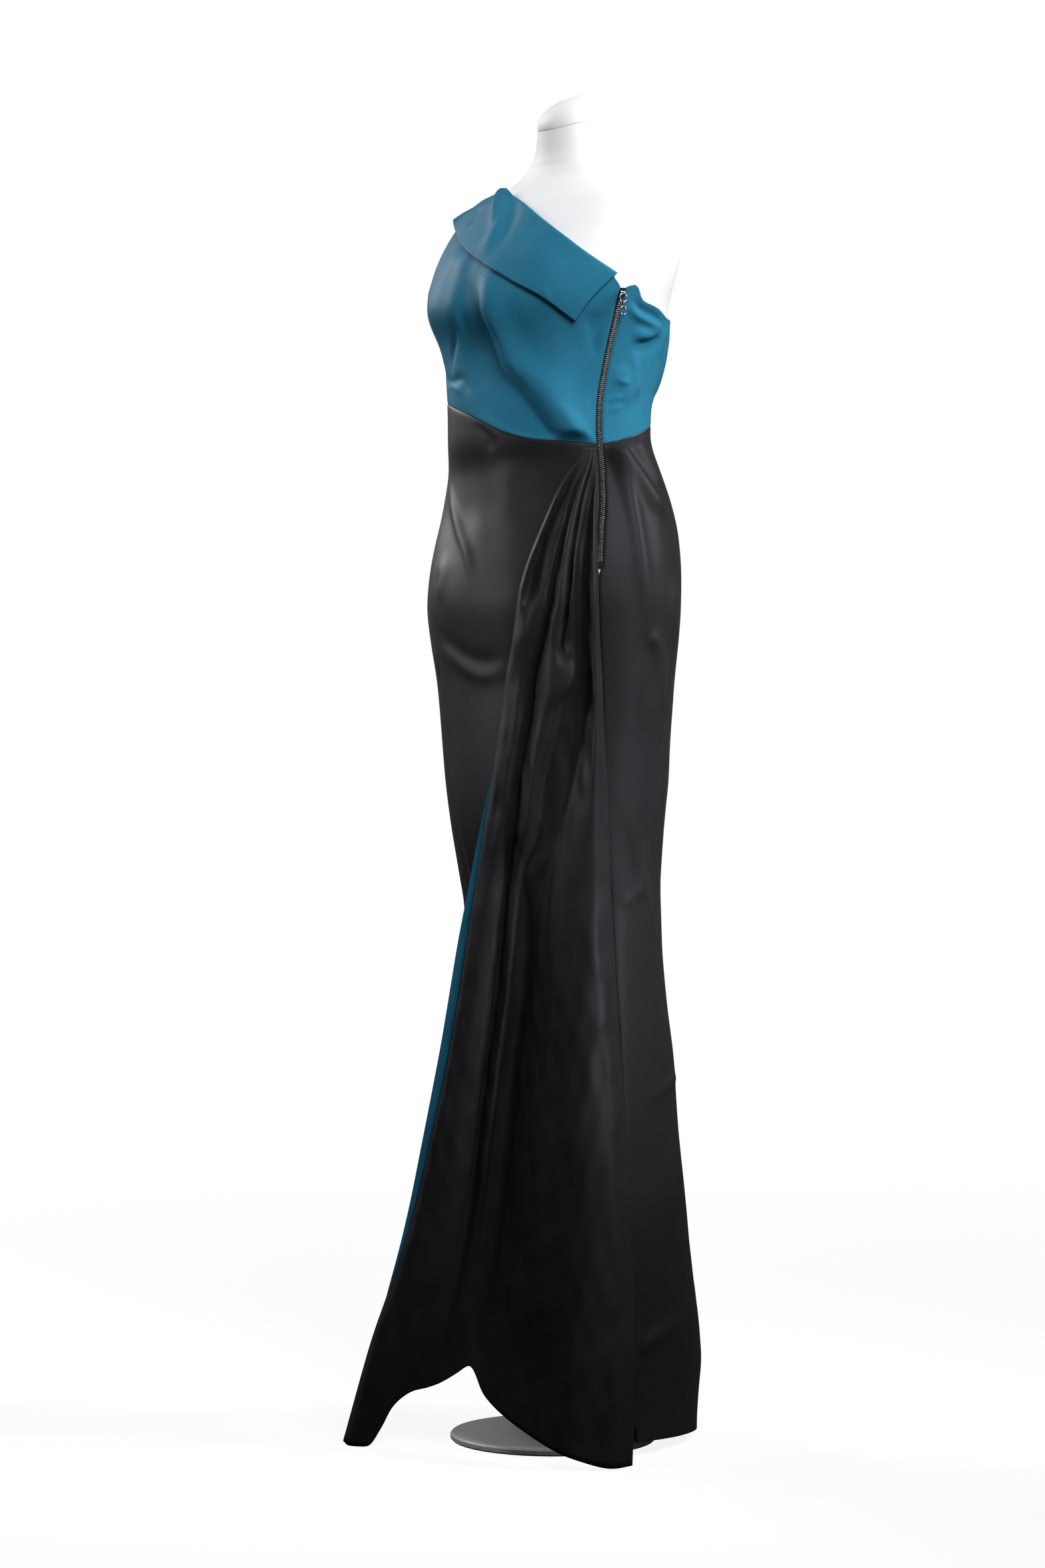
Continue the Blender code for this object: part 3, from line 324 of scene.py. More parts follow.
def along_ring(azimuth, height, distance):
    """The azimuth of the point that lies a distance further round the ring."""
    step = np.linalg.norm(figure(azimuth + 0.5, height) - figure(azimuth - 0.5, height), axis=-1)
    return azimuth + distance / step


def side_line(height):
    return smooth(height, *np.transpose(SIDE_LINE))


def waist(azimuth):
    return smooth(azimuth, *np.transpose(WAIST))


def step_up(x):
    """Rises smoothly from 0 to 1."""
    t = np.clip(x, 0, 1)
    return t * t * (3 - 2 * t)


# ---------------- laying out a panel
METRES_A_DEGREE = 0.0023
BODICE_MESHES = (116, 92)  # across and up
BODICE_SIZE = (0.36, 0.19)
SKIRT_MESHES = (110, 236)
SKIRT_SIZE = (0.40, 1.0)
SHOULDER_SHARE = 4 / 20  # of the bodice's upper edge
SIDE_SEAM_SHARE = 4 / 18  # of the bodice's outer edge
BESIDE_ZIP_SHARE = 5 / 26  # of the skirt's side edge
CLOSING_SHARE = 1 / 26
EDGE_CLEAR = 1.4  # from the close rows of an edge to its first even one, in widths of the close ones


def through(knots, dense=240):
    """A dense smooth run through (azimuth, height) knots."""
    knots = np.array(knots, float)
    step = np.linalg.norm(np.diff(knots, axis=0) * np.array([METRES_A_DEGREE, 1.0]), axis=-1)
    at = np.concatenate([[0], np.cumsum(step)])
    t = np.linspace(0, at[-1], dense)
    return np.stack([smooth(t, at, knots[:, k]) for k in (0, 1)], axis=-1)


def shares(pieces, length):
    """Even shares of an edge, with a few close ones at both ends for its seams."""
    even = np.linspace(0, 1, pieces + 1)
    close = np.array(EDGE_STEPS) / length
    clear = close[-1] * EDGE_CLEAR
    inner = even[(even > clear) & (even < 1 - clear)]
    return np.concatenate([[0], close, inner, 1 - close[::-1], [1]])


def edge_at(wanted, *runs):
    """Points of an edge at shares of it. Each run is the share where it ends and its dense curve."""
    places, points, start = [], [], 0.0
    for end, curve in runs:
        spots = figure(curve[:, 0], curve[:, 1])
        length = np.concatenate([[0], np.cumsum(np.linalg.norm(np.diff(spots, axis=0), axis=-1))])
        places.append(start + (end - start) * length / length[-1])
        points.append(curve)
        start = end
    places, points = np.concatenate(places), np.concatenate(points)
    return np.stack([np.interp(wanted, places, points[:, k]) for k in (0, 1)], axis=-1)


def patch(bottom, top, left, right, across, up):
    """Fills the four edges of a panel with rows and columns that run from its left edge."""
    u = across[None, :, None]
    v = up[:, None, None]
    at_bottom = (1 - u) * bottom[0] + u * bottom[-1]
    at_top = (1 - u) * top[0] + u * top[-1]
    between_sides = (1 - u) * left[:, None] + u * right[:, None]
    filled = (1 - v) * bottom[None] + v * top[None] + between_sides - (1 - v) * at_bottom - v * at_top
    return filled if filled[0, 0, 0] < filled[0, -1, 0] else filled[:, ::-1]


def pinned(edge, first, last):
    """Moves an edge so that it starts and ends exactly on its neighbours' corners."""
    t = np.linspace(0, 1, len(edge))[:, None]
    return edge + (1 - t) * (first - edge[0]) + t * (last - edge[-1])


def side_edge(heights, way):
    """The cloth's edge beside the zip, or at the side seam below the zip's foot."""
    opened = step_up((heights - ZIP_FOOT + ZIP_CLOSE) / ZIP_CLOSE)
    half = SEAM_GAP / 2 + (PANEL_TO_ZIP - SEAM_GAP / 2) * opened
    return np.stack([along_ring(side_line(heights), heights, way * half), heights], axis=-1)


def right_run(foot, top, way, gap=SEAM_GAP):
    heights = np.linspace(foot, top, 120)
    return np.stack([along_ring(-way * RIGHT_SIDE, heights, way * gap / 2), heights], axis=-1)


def waist_run(way, side):
    """The front's (way 1) or back's (-1) edge above (side 1) or below (-1) the waist seam.

    It keeps clear of the seam by the lean of its own wall.
    """
    right = along_ring(-way * RIGHT_SIDE, waist(-way * RIGHT_SIDE), way * SEAM_GAP / 2)
    foot = waist(side_line(NEAR_WAIST))
    beside_zip = along_ring(side_line(foot), foot, -way * PANEL_TO_ZIP)
    azimuth = np.linspace(float(right), float(beside_zip), 300)
    seam = waist(azimuth)
    lean = np.maximum(0, -side * outward(azimuth, seam + side * WAIST_LEAN_AT)[:, 2])
    away = SEAM_GAP / 2 + WAIST_LEAN * PANEL_WALL * soften(lean, 6)
    return np.stack([azimuth, seam + side * away], axis=-1)


def bodice_layout(way, neckline, armhole):
    """Azimuth and height of each point of the front (way 1) or back (way -1) of the bodice."""
    across, up = (shares(*pair) for pair in zip(BODICE_MESHES, BODICE_SIZE))
    waistline = edge_at(across, (1, waist_run(way, 1)))
    side = right_run(waistline[0, 1], ARMHOLE_FOOT, way)
    seam = right_run(SHOULDER_POINT, FRONT_NECKLINE[0][1], way, SHOULDER_SEAM_GAP)
    arm = pinned(through(armhole), side[-1], seam[0])
    neck = pinned(through(neckline), seam[-1], side_edge(np.array(ZIP_TOP), -way))
    outer = edge_at(up, (SIDE_SEAM_SHARE, side), (1, arm))
    top = edge_at(across, (SHOULDER_SHARE, seam), (1, neck))
    closure = side_edge(waistline[-1, 1] + up * (ZIP_TOP - waistline[-1, 1]), -way)
    closure[0], closure[-1] = waistline[-1], top[-1]
    return patch(waistline, top, outer, closure, across, up)


def skirt_layout(way, hem):
    """Azimuth and height of each point of the front (way 1) or back (way -1) of the skirt."""
    across, up = (shares(*pair) for pair in zip(SKIRT_MESHES, SKIRT_SIZE))
    waistline = edge_at(across, (1, waist_run(way, -1)))
    at_left, *_, at_right = (height for _, height in sorted(hem, key=lambda knot: abs(knot[0])))
    outer = edge_at(up, (1, right_run(at_right, waistline[0, 1], way)))
    beside = 1 - BESIDE_ZIP_SHARE
    levels = (at_left, ZIP_FOOT - ZIP_CLOSE, ZIP_FOOT, waistline[-1, 1])
    closure = side_edge(np.interp(up, (0, beside - CLOSING_SHARE, beside, 1), levels), -way)
    closure[-1], outer[-1] = waistline[-1], waistline[0]
    hemline = edge_at(across, (1, pinned(through(hem), outer[0], closure[0])))
    return patch(hemline, waistline, outer, closure, across, up)


def edge_distances(points):
    """How far each point lies from the bottom, top, left and right edge of its grid."""
    up = np.linalg.norm(np.diff(points, axis=0), axis=-1)
    along = np.linalg.norm(np.diff(points, axis=1), axis=-1)
    from_bottom = np.vstack([np.zeros(points.shape[1]), np.cumsum(up, axis=0)])
    from_left = np.hstack([np.zeros((points.shape[0], 1)), np.cumsum(along, axis=1)])
    return {
        "bottom": from_bottom,
        "top": from_bottom[-1] - from_bottom,
        "left": from_left,
        "right": from_left[:, -1:] - from_left,
    }


def nearest_edge(points):
    return np.minimum.reduce(list(edge_distances(points).values()))


# ---------------- creases
WAVES = 18
CREASE_REACH = 3  # widths of a crease past which it lifts nothing
CREASE_FADE = 0.35  # share of a crease's length over which its end fades
PROFILES = {
    "ridge": lambda d: np.exp(-(d**2)),
    "hollow": lambda d: -np.exp(-(d**2)),
    "fold": lambda d: 1.6 * d * np.exp(-(d**2)),
    "tuck": lambda d: np.exp(-((d / np.where(d > 0, 0.4, 1.2)) ** 2)),
}


def uneven(points, size, length, seed):
    """A gentle unevenness, as worn satin has, between about -1 and 1."""
    draw = np.random.default_rng(seed)
    waves = draw.normal(size=(WAVES, 3)) * (2 * math.pi / np.array([size, size, length]))
    phases = draw.uniform(0, 2 * math.pi, WAVES)
    return sum(np.sin(points @ wave + phase) for wave, phase in zip(waves, phases)) / math.sqrt(WAVES)


def creases(layout, table):
    """How far the creases lift each point."""
    spots = figure(layout[..., 0], layout[..., 1]).reshape(-1, 3)
    facing = outward(layout[..., 0], layout[..., 1]).reshape(-1, 3)
    lift = np.zeros(len(spots))
    for profile, wide, high, held, *path in table:
        line = through(np.reshape(path, (-1, 2)), 80)
        line = figure(line[:, 0], line[:, 1])
        reach = CREASE_REACH * wide * MM
        low, top = line.min(axis=0) - reach, line.max(axis=0) + reach
        near = np.all((spots > low) & (spots < top), axis=-1)
        away = spots[near, None] - line[None]
        index = np.argmin((away**2).sum(axis=-1), axis=1)
        away = away[np.arange(len(index)), index]
        direction = unit(np.gradient(line, axis=0))[index]
        side = np.sign((np.cross(direction, away) * facing[near]).sum(axis=-1))
        distance = side * np.linalg.norm(away, axis=-1) / (wide * MM)
        along = index / (len(line) - 1)
        fade = 1.0
        if held != "start":
            fade = fade * step_up(along / CREASE_FADE)
        if held != "end":
            fade = fade * step_up((1 - along) / CREASE_FADE)
        lift[near] += high * MM * fade * PROFILES[profile](distance)
    return lift.reshape(layout.shape[:2])


def rolled(points, edges):
    """The dip of the cloth beside its seams."""
    depth, width = SEAM_ROLL
    away = edge_distances(points)
    return np.maximum.reduce([depth * (1 - step_up(away[edge] / width)) for edge in edges])


# ---------------- colours and materials
YARN_LINES = (1400.0, 60.0, 1.0)  # drawn 0.7 mm wide; the real threads are about 0.1 mm apart
CROSS_LINES = (90.0, 1100.0, 1.0)
TAPE_LINES = (900.0, 900.0, 1.0)
BUMP_DEPTH = 0.0002


def linear(colour):
    """An sRGB hex colour as linear red, green and blue."""
    channels = [int(colour[i : i + 2], 16) / 255 for i in (1, 3, 5)]
    return tuple(c / 12.92 if c <= 0.04045 else ((c + 0.055) / 1.055) ** 2.4 for c in channels) + (1.0,)


def add(tree, kind, feeds=None, **settings):
    """Adds a node with its settings, and feeds its sockets with values or other nodes' outputs."""
    made = tree.nodes.new(kind)
    for name, value in settings.items():
        setattr(made, name, value)
    for socket, value in (feeds or {}).items():
        if isinstance(value, bpy.types.NodeSocket):
            tree.links.new(value, made.inputs[socket])
        else:
            made.inputs[socket].default_value = value
    return made


def new_material(name):
    made = bpy.data.materials.new(name)
    made.use_nodes = True
    made.node_tree.nodes.clear()
    return made, made.node_tree


def finished(made, shader):
    add(made.node_tree, "ShaderNodeOutputMaterial", {"Surface": shader.outputs[0]})
    return made


def principled(made, feeds):
    return finished(made, add(made.node_tree, "ShaderNodeBsdfPrincipled", feeds))


def object_place(tree):
    return add(tree, "ShaderNodeTexCoord").outputs["Object"]


def along_grain(tree, scale):
    """Places along and across the weave of a cloth, stretched by a scale."""
    grain = add(tree, "ShaderNodeUVMap", uv_map="grain").outputs[0]
    return add(tree, "ShaderNodeMapping", {"Vector": grain, "Scale": scale}).outputs[0]


def noise(tree, at, scale, detail):
    return add(tree, "ShaderNodeTexNoise", {"Vector": at, "Scale": scale, "Detail": detail}).outputs[0]


def diagonal_lines(tree, at, scale, distortion):
    feeds = {"Vector": at, "Scale": scale, "Distortion": distortion, "Detail": 1.0}
    return add(tree, "ShaderNodeTexWave", feeds, bands_direction="DIAGONAL").outputs["Fac"]


def spread(tree, value, given, wanted):
    """Maps a range of values to another."""
    ends = dict(zip(("From Min", "From Max", "To Min", "To Max"), given + wanted))
    return add(tree, "ShaderNodeMapRange", {"Value": value, **ends}).outputs[0]


def calculated(tree, operation, first, second):
    return add(tree, "ShaderNodeMath", {0: first, 1: second}, operation=operation).outputs[0]


def mixed(tree, share, first, second):
    feeds = {"Factor": share, "A": linear(first), "B": linear(second)}
    return add(tree, "ShaderNodeMix", feeds, data_type="RGBA").outputs["Result"]


def raised(tree, height, strength):
    feeds = {"Height": height, "Strength": strength, "Distance": BUMP_DEPTH}
    return add(tree, "ShaderNodeBump", feeds).outputs[0]


def duchess_satin(name, deep, bright, roughness, gloss_level, sheen_tint):
    """Duchess satin, a dense warp-faced polyester weave: a smooth skin with a broad soft gloss."""
    made, tree = new_material(name)
    yarn = noise(tree, along_grain(tree, YARN_LINES), 1.0, 2.0)
    cross = noise(tree, along_grain(tree, CROSS_LINES), 1.0, 1.0)
    cloud = noise(tree, object_place(tree), 9.0, 3.0)
    weave = calculated(tree, "ADD", yarn, cross)
    shade = spread(tree, weave, (0.7, 1.3), (0.0, 0.5))
    blotch = spread(tree, cloud, (0.3, 0.7), (0.0, 0.5))
    return principled(made, {
        "Base Color": mixed(tree, calculated(tree, "ADD", shade, blotch), deep, bright),
        "Roughness": spread(tree, cloud, (0.3, 0.7), (roughness - 0.03, roughness + 0.04)),
        "Normal": raised(tree, weave, 0.16),
        "Specular IOR Level": gloss_level,
        "Specular Tint": linear(sheen_tint),
        "Sheen Weight": 0.02,
        "Sheen Tint": linear(sheen_tint),
    })


def woven_tape(name, deep, bright):
    """Polyester zip tape: a dull, dense herringbone whose furrows are darkened with painted shade."""
    made, tree = new_material(name)
    weave = diagonal_lines(tree, along_grain(tree, TAPE_LINES), 0.35, 1.5)
    return principled(made, {
        # painted shade: the colour darkens where the weave's bump sinks into its furrows
        "Base Color": mixed(tree, weave, deep, bright),
        "Roughness": 0.8,
        "Normal": raised(tree, weave, 0.4),
        "Specular IOR Level": 0.2,
    })


def plated_zinc(name, colour, worn, roughness):
    """Cast zinc with a plated finish, polished bright on its high places and duller between them."""
    made, tree = new_material(name)
    cast = noise(tree, object_place(tree), 900.0, 3.0)
    return principled(made, {
        "Base Color": mixed(tree, cast, colour, worn),
        "Metallic": 1.0,
        "Roughness": spread(tree, cast, (0.3, 0.7), (roughness, roughness + 0.12)),
    })


def matt_lacquer(name, colour, shade, roughness, peel):
    """Sprayed lacquer over a smooth moulded shell: even and matt, with a very faint orange peel."""
    made, tree = new_material(name)
    place = object_place(tree)
    return principled(made, {
        "Base Color": mixed(tree, noise(tree, place, 7.0, 2.0), colour, shade),
        "Roughness": roughness,
        "Normal": raised(tree, noise(tree, place, 700.0, 2.0), peel),
    })


def sewing_thread(name, deep, bright):
    """Spun polyester thread: two plies that catch the light as fine slanting stripes."""
    made, tree = new_material(name)
    plies = diagonal_lines(tree, object_place(tree), 420.0, 2.0)
    return principled(made, {
        "Base Color": mixed(tree, plies, deep, bright), "Roughness": 0.5, "Sheen Weight": 0.1
    })


TEAL_SATIN = duchess_satin("teal_duchess_satin", "#236480", "#2E7592", 0.52, 0.05, "#5BA9C8")
BLACK_SATIN = duchess_satin("black_duchess_satin", "#1C1C1E", "#252527", 0.48, 0.17, "#C8C8D2")
LINING_SATIN = duchess_satin("teal_satin_lining", "#215F7E", "#2C7392", 0.46, 0.10, "#9CC6DA")
TAPE = woven_tape("black_zip_tape", "#0F0E0E", "#1D1B1B")
GUNMETAL = plated_zinc("gunmetal_plated_zinc", "#77787A", "#A9AAAD", 0.26)
BRIGHT_LINK = plated_zinc("polished_gunmetal_links", "#808183", "#BABBBE", 0.14)
FORM_LACQUER = matt_lacquer("white_matt_lacquer", "#F0F0F2", "#ECECEE", 0.6, 0.05)
STAND_COAT = matt_lacquer("white_powder_coat", "#F0F0F0", "#E9E9EA", 0.42, 0.25)
THREAD = sewing_thread("teal_sewing_thread", "#235D78", "#3F82A0")
DARK_THREAD = sewing_thread("black_sewing_thread", "#19191B", "#333336")


# ---------------- meshes
def place_object(name, mesh, *materials):
    obj = bpy.data.objects.new(name, mesh)
    for look in materials:
        mesh.materials.append(look)
    bpy.context.scene.collection.objects.link(obj)
    return obj


def cloth(name, points, wall, *materials):
    """A thin shell of cloth round a grid of points that faces away from the body.

    Its grain is the length along the rows and up the columns, in metres, for the weave to follow. A
    second material is the cloth's inner face.
    """
    index = np.arange(points[..., 0].size).reshape(points.shape[:2])
    quads = np.stack([index[:-1, :-1], index[:-1, 1:], index[1:, 1:], index[1:, :-1]], axis=-1)
    mesh = bpy.data.meshes.new(name)
    mesh.from_pydata(points.reshape(-1, 3).tolist(), [], quads.reshape(-1, 4).tolist())
    mesh.shade_smooth()
    away = edge_distances(points)
    grain = np.stack([away["left"], away["bottom"]], axis=-1).reshape(-1, 2)
    mesh.uv_layers.new(name="grain").data.foreach_set("uv", np.float32(grain[quads.ravel()]).ravel())
    obj = place_object(name, mesh, *materials)
    thick = obj.modifiers.new("cloth", "SOLIDIFY")
    thick.thickness = wall
    thick.offset = 0
    thick.use_quality_normals = True
    if len(materials) > 1:
        thick.material_offset = 1
    return obj


def solid(name, shape, material, sharp=180):
    """Turns a shape of faces into a smooth piece with edges past an angle, in degrees, left sharp."""
    mesh = bpy.data.meshes.new(name)
    shape.to_mesh(mesh)
    shape.free()
    mesh.shade_smooth()
    if sharp < 180:
        mesh.set_sharp_from_angle(angle=math.radians(sharp))
    return place_object(name, mesh, material)


def skin(shape, rings, closed=False):
    """Faces from each ring of points to the next, and over both ends unless the rings close up."""
    rings = [[shape.verts.new(point) for point in ring_points] for ring_points in rings]
    following = rings[1:] + rings[:1] if closed else rings[1:]
    for first, second in zip(rings, following):
        for i in range(len(first)):
            j = (i + 1) % len(first)
            shape.faces.new((first[i], first[j], second[j], second[i]))
    if not closed:
        shape.faces.new(rings[0][::-1])
        shape.faces.new(rings[-1])


def wire(shape, path, radius, sides, closed=False):
    """Adds a round wire along a path of points to a shape."""
    count = len(path)
    turns = [2 * math.pi * k / sides for k in range(sides)]
    side = None
    rings = []
    for i, point in enumerate(path):
        ahead = path[(i + 1) % count] if closed or i + 1 < count else point
        behind = path[i - 1] if closed or i > 0 else point
        along = (ahead - behind).normalized()
        if side is None:
            side = along.orthogonal().normalized()
        side = (side - along * side.dot(along)).normalized()
        up = along.cross(side)
        rings.append([point + radius * (side * math.cos(a) + up * math.sin(a)) for a in turns])
    skin(shape, rings, closed)


def declare(obj, slot, *nodes, body="gown_on_form"):
    """Sets a piece on its body and hides the plain solids that it stands for. The finish slot is not used."""
    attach(obj, body)
    if nodes:
        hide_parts(*nodes)


# ---------------- bodice and skirt
# Each crease: profile, width and height in mm, the end that doesn't fade, then its azimuths and heights
FRONT_BODICE_CREASES = (
    ("ridge", 22, 4, "", -94, 1.285, -100, 1.25, -104, 1.21, -104, 1.17, -96, 1.135),
    ("fold", 26, 19, "end", -91, 1.3, -85, 1.265, -81.5, 1.231, -75, 1.187, -59, 1.149, -47, 1.111),
    ("ridge", 24, 5, "", -62, 1.262, -52, 1.215, -44, 1.17, -34, 1.125),
    ("hollow", 5, 2.4, "", -104, 1.262, -103, 1.235, -110, 1.208, -117.5, 1.19),
    ("hollow", 7, 2.2, "", -30, 1.246, -28, 1.219, -27.5, 1.19),
    ("hollow", 4, 2.2, "start", -137.5, 1.198, -131, 1.186, -111, 1.178, -96, 1.182),
    ("hollow", 6, 2.2, "", -113, 1.186, -103, 1.176, -96, 1.16),
    ("ridge", 3.5, 1.6, "", -124, 1.18, -111, 1.171, -99.5, 1.161),
    ("ridge", 12, 2.2, "", -118, 1.325, -103, 1.308, -92, 1.296),
    ("tuck", 4, 2.2, "end", -124, 1.343, -125, 1.33, -126, 1.313, -127, 1.298, -129, 1.282),
    ("ridge", 7, 2.2, "end", -43, 1.146, -37, 1.124, -31, 1.105),
    ("hollow", 6, 1.4, "end", -35, 1.146, -30, 1.126, -26, 1.107),
    ("hollow", 9, 1.6, "end", -36, 1.228, -28, 1.231, -20, 1.238),
)
BACK_BODICE_CREASES = (
    ("fold", 6, -5.5, "", -14, 1.258, -9.5, 1.247, 0, 1.239, 19, 1.232),
    ("fold", 9, 7, "", -7, 1.212, 4, 1.214, 18, 1.226),
    ("ridge", 4.5, 4, "", -2, 1.203, 1, 1.177, 3.5, 1.15),
    ("ridge", 3.5, 2.2, "", -12, 1.172, -8, 1.168, -4, 1.17),
    ("ridge", 13, 4, "", -10, 1.19, -4, 1.16, 6, 1.15),
    ("ridge", 3, 1.8, "", -15.5, 1.142, -11, 1.151, -6.5, 1.152),
    ("ridge", 3, 1.8, "", -16.5, 1.131, -11.5, 1.139, -7, 1.143),
    ("ridge", 6, 1.8, "", 28, 1.234, 21.5, 1.219, 20.5, 1.196),
    ("ridge", 9, 2, "", 60, 1.235, 52, 1.205, 50, 1.17, 56, 1.145),
    ("hollow", 12, 1.8, "", 96, 1.25, 88, 1.215, 86, 1.175),
    ("ridge", 8, 1.8, "end", 130, 1.26, 124, 1.22, 126, 1.185, 134, 1.164),
    ("ridge", 10, 2, "", 120, 1.3, 135, 1.32, 150, 1.35),
    ("hollow", 5, 1.6, "end", 150, 1.205, 160, 1.192, 172, 1.186),
)
FRONT_SKIRT_CREASES = (
    ("ridge", 7, 3.6, "", -131, 1.075, -115, 1.036, -105, 1.011, -95, 0.981, -88, 0.94),
    ("hollow", 9, 2.6, "start", -88.5, 1.127, -85, 1.113, -81.5, 1.095),
    ("hollow", 2.5, 1, "", -59, 1.102, -54.5, 1.1, -50, 1.101),
    ("fold", 11, -3.4, "", -122, 0.896, -107.5, 0.878, -95.5, 0.863, -86.5, 0.858, -72, 0.868),
    ("ridge", 13, 2.6, "", -121, 0.985, -113, 0.961, -115, 0.927),
    ("ridge", 5, 1.6, "", -130, 0.883, -127, 0.865, -131, 0.845),
    ("ridge", 16, 1.8, "", -74, 1.09, -79, 1.053, -78, 1),
    ("fold", 14, 1.6, "", -150, 0.93, -152, 0.8, -148, 0.65),
    ("fold", 12, 3.2, "", -128, 0.78, -118, 0.69, -112, 0.56),
    ("ridge", 10, 1.6, "", -140, 0.52, -126, 0.48, -112, 0.462),
    ("fold", 12, 1.6, "end", -142, 0.42, -140, 0.28, -138, 0.115),
)
BACK_SKIRT_CREASES = (
    ("tuck", 12, 7.5, "start", -14, 1.101, -8.5, 1.087, 0.5, 1.064, 9.5, 1.04, 22, 1.016),
    ("ridge", 14, 4.6, "start", -1, 1.108, 6, 1.092, 14, 1.07, 22, 1.045),
    ("ridge", 9, 5, "start", -13, 1.09, -10.5, 1.044, -9, 0.999, -7.5, 0.96, 0, 0.888),
    ("ridge", 3, 2.6, "", -6, 0.889, -0.5, 0.885, 5, 0.884),
    ("fold", 11, 4.5, "start", 0, 0.88, 6, 0.855, 9, 0.815),
    ("ridge", 10, 4, "", 16, 0.965, 17, 0.911, 29, 0.878),
    ("ridge", 6, 3, "", -7, 0.596, 5, 0.612, 15, 0.626),
    ("fold", 10, 4, "", -11, 0.714, 4, 0.633, 27, 0.537),
    ("ridge", 6, 3.2, "", 8, 0.384, 28.5, 0.398, 52, 0.406),
    ("ridge", 8, 3.6, "", -3, 0.108, 9.5, 0.127, 25, 0.14),
    ("fold", 14, 1.8, "", 46, 0.96, 44, 0.8, 50, 0.64),
    ("fold", 16, 2, "", 84, 0.9, 88, 0.7, 86, 0.48),
    ("ridge", 9, 2, "", 110, 0.905, 126, 0.88, 144, 0.886),
    ("fold", 13, 1.8, "end", 120, 0.42, 124, 0.24, 122, 0.01),
    ("fold", 13, 1.8, "end", 60, 0.38, 58, 0.2, 62, 0.01),
    ("hollow", 8, 2.6, "start", 96, 1.146, 98, 1.11, 104, 1.07),
)
FLAP_CREASES = (
    ("ridge", 4, 3.2, "start", -108, 1.39, -105, 1.384, -97, 1.363, -94, 1.352, -91, 1.3375),
    ("fold", 13, -4.6, "start", -101, 1.386, -91, 1.366, -86.5, 1.346, -84.5, 1.324, -82.5, 1.305),
    ("hollow", 6, 1.2, "", -73, 1.347, -67.3, 1.337, -62, 1.326),
    ("ridge", 3, 1.1, "", -51, 1.268, -49.6, 1.259, -46.8, 1.255),
    ("hollow", 9, 1.6, "", -113.7, 1.378, -113, 1.366, -112, 1.351),
    ("ridge", 16, 1.6, "", -72, 1.318, -58, 1.297, -44, 1.277),
)
UNEVENNESS = 0.00045
UNEVEN_SIZES = (0.09, 0.22)  # round the body and up it
UNEVEN_EASE = 0.02  # how far from an edge the unevenness reaches its full height
CREASE_EASE = 0.013  # the same for a crease


def panel(name, layout, table, seams, material, seed):
    base = on_figure(layout, np.full(layout.shape[:2], CLOTH_LIFT))
    away = nearest_edge(base)
    lift = CLOTH_LIFT + creases(layout, table) * step_up(away / CREASE_EASE)
    lift = lift + UNEVENNESS * step_up(away / UNEVEN_EASE) * uneven(base, *UNEVEN_SIZES, seed)
    lift = np.where(lift < 0, CLOTH_FLOOR * np.tanh(lift / CLOTH_FLOOR), lift) - rolled(base, seams)
    points = on_figure(layout, lift)
    return cloth(name, points, SATIN, material), points


def make_panels():
    """The front and back of the bodice and then of the skirt, each with its points."""
    bodice = ("bottom", "left", "right"), TEAL_SATIN
    skirt = ("top", "left", "right"), BLACK_SATIN
    bodice_front = bodice_layout(1, FRONT_NECKLINE, FRONT_ARMHOLE)
    bodice_back = bodice_layout(-1, BACK_NECKLINE[::-1], BACK_ARMHOLE)
    return (
        panel("satin_bodice_front", bodice_front, FRONT_BODICE_CREASES, *bodice, seed=3),
        panel("satin_bodice_back", bodice_back, BACK_BODICE_CREASES, *bodice, seed=5),
        panel("satin_skirt_front", skirt_layout(1, FRONT_HEM), FRONT_SKIRT_CREASES, *skirt, seed=11),
        panel("satin_skirt_back", skirt_layout(-1, BACK_HEM[::-1]), BACK_SKIRT_CREASES, *skirt, seed=13),
    )


# ---------------- collar flap
FLAP_MESHES = 130
FLAP_LENGTH = 0.30
FLAP_PLY = 0.0019  # from the under ply to the upper one, middle to middle
FLAP_BELOW = 0.0009  # how far the ply inside the neckline lies below the figure's surface
FLAP_INSIDE = 0.009  # how far the band runs down inside the neckline
FLAP_TURNED = 0.014  # how far its free edge is turned up behind
FLAP_END_ROUND = 0.0016


def flap_profile(run, lift_fold, lift_edge):
    """Drop below the fold and lift off the figure, from inside the neckline round to the turned edge."""
    turn = np.linspace(0, math.pi, 9)
    over = (lift_fold + FLAP_PLY + FLAP_BELOW) / 2
    half = FLAP_PLY / 2
    rise = lift_edge - lift_fold
    inside = [(over + FLAP_INSIDE * (1 - t), -FLAP_BELOW) for t in np.linspace(0, 0.8, 4)]
    fold = [(over * (1 - math.sin(a)), -FLAP_BELOW + over * (1 - math.cos(a))) for a in turn]
    front = [(run * t, lift_fold + FLAP_PLY + rise * t) for t in np.linspace(0.06, 0.985, 34)]
    hem = [(run - half + half * math.sin(a), lift_edge + half + half * math.cos(a)) for a in turn[1:-1]]
    turned = FLAP_TURNED * np.linspace(0.05, 1, 6)
    under = [(run - back - half, lift_edge - rise * back / run) for back in turned]
    return np.array(inside + fold + front + hem + under)


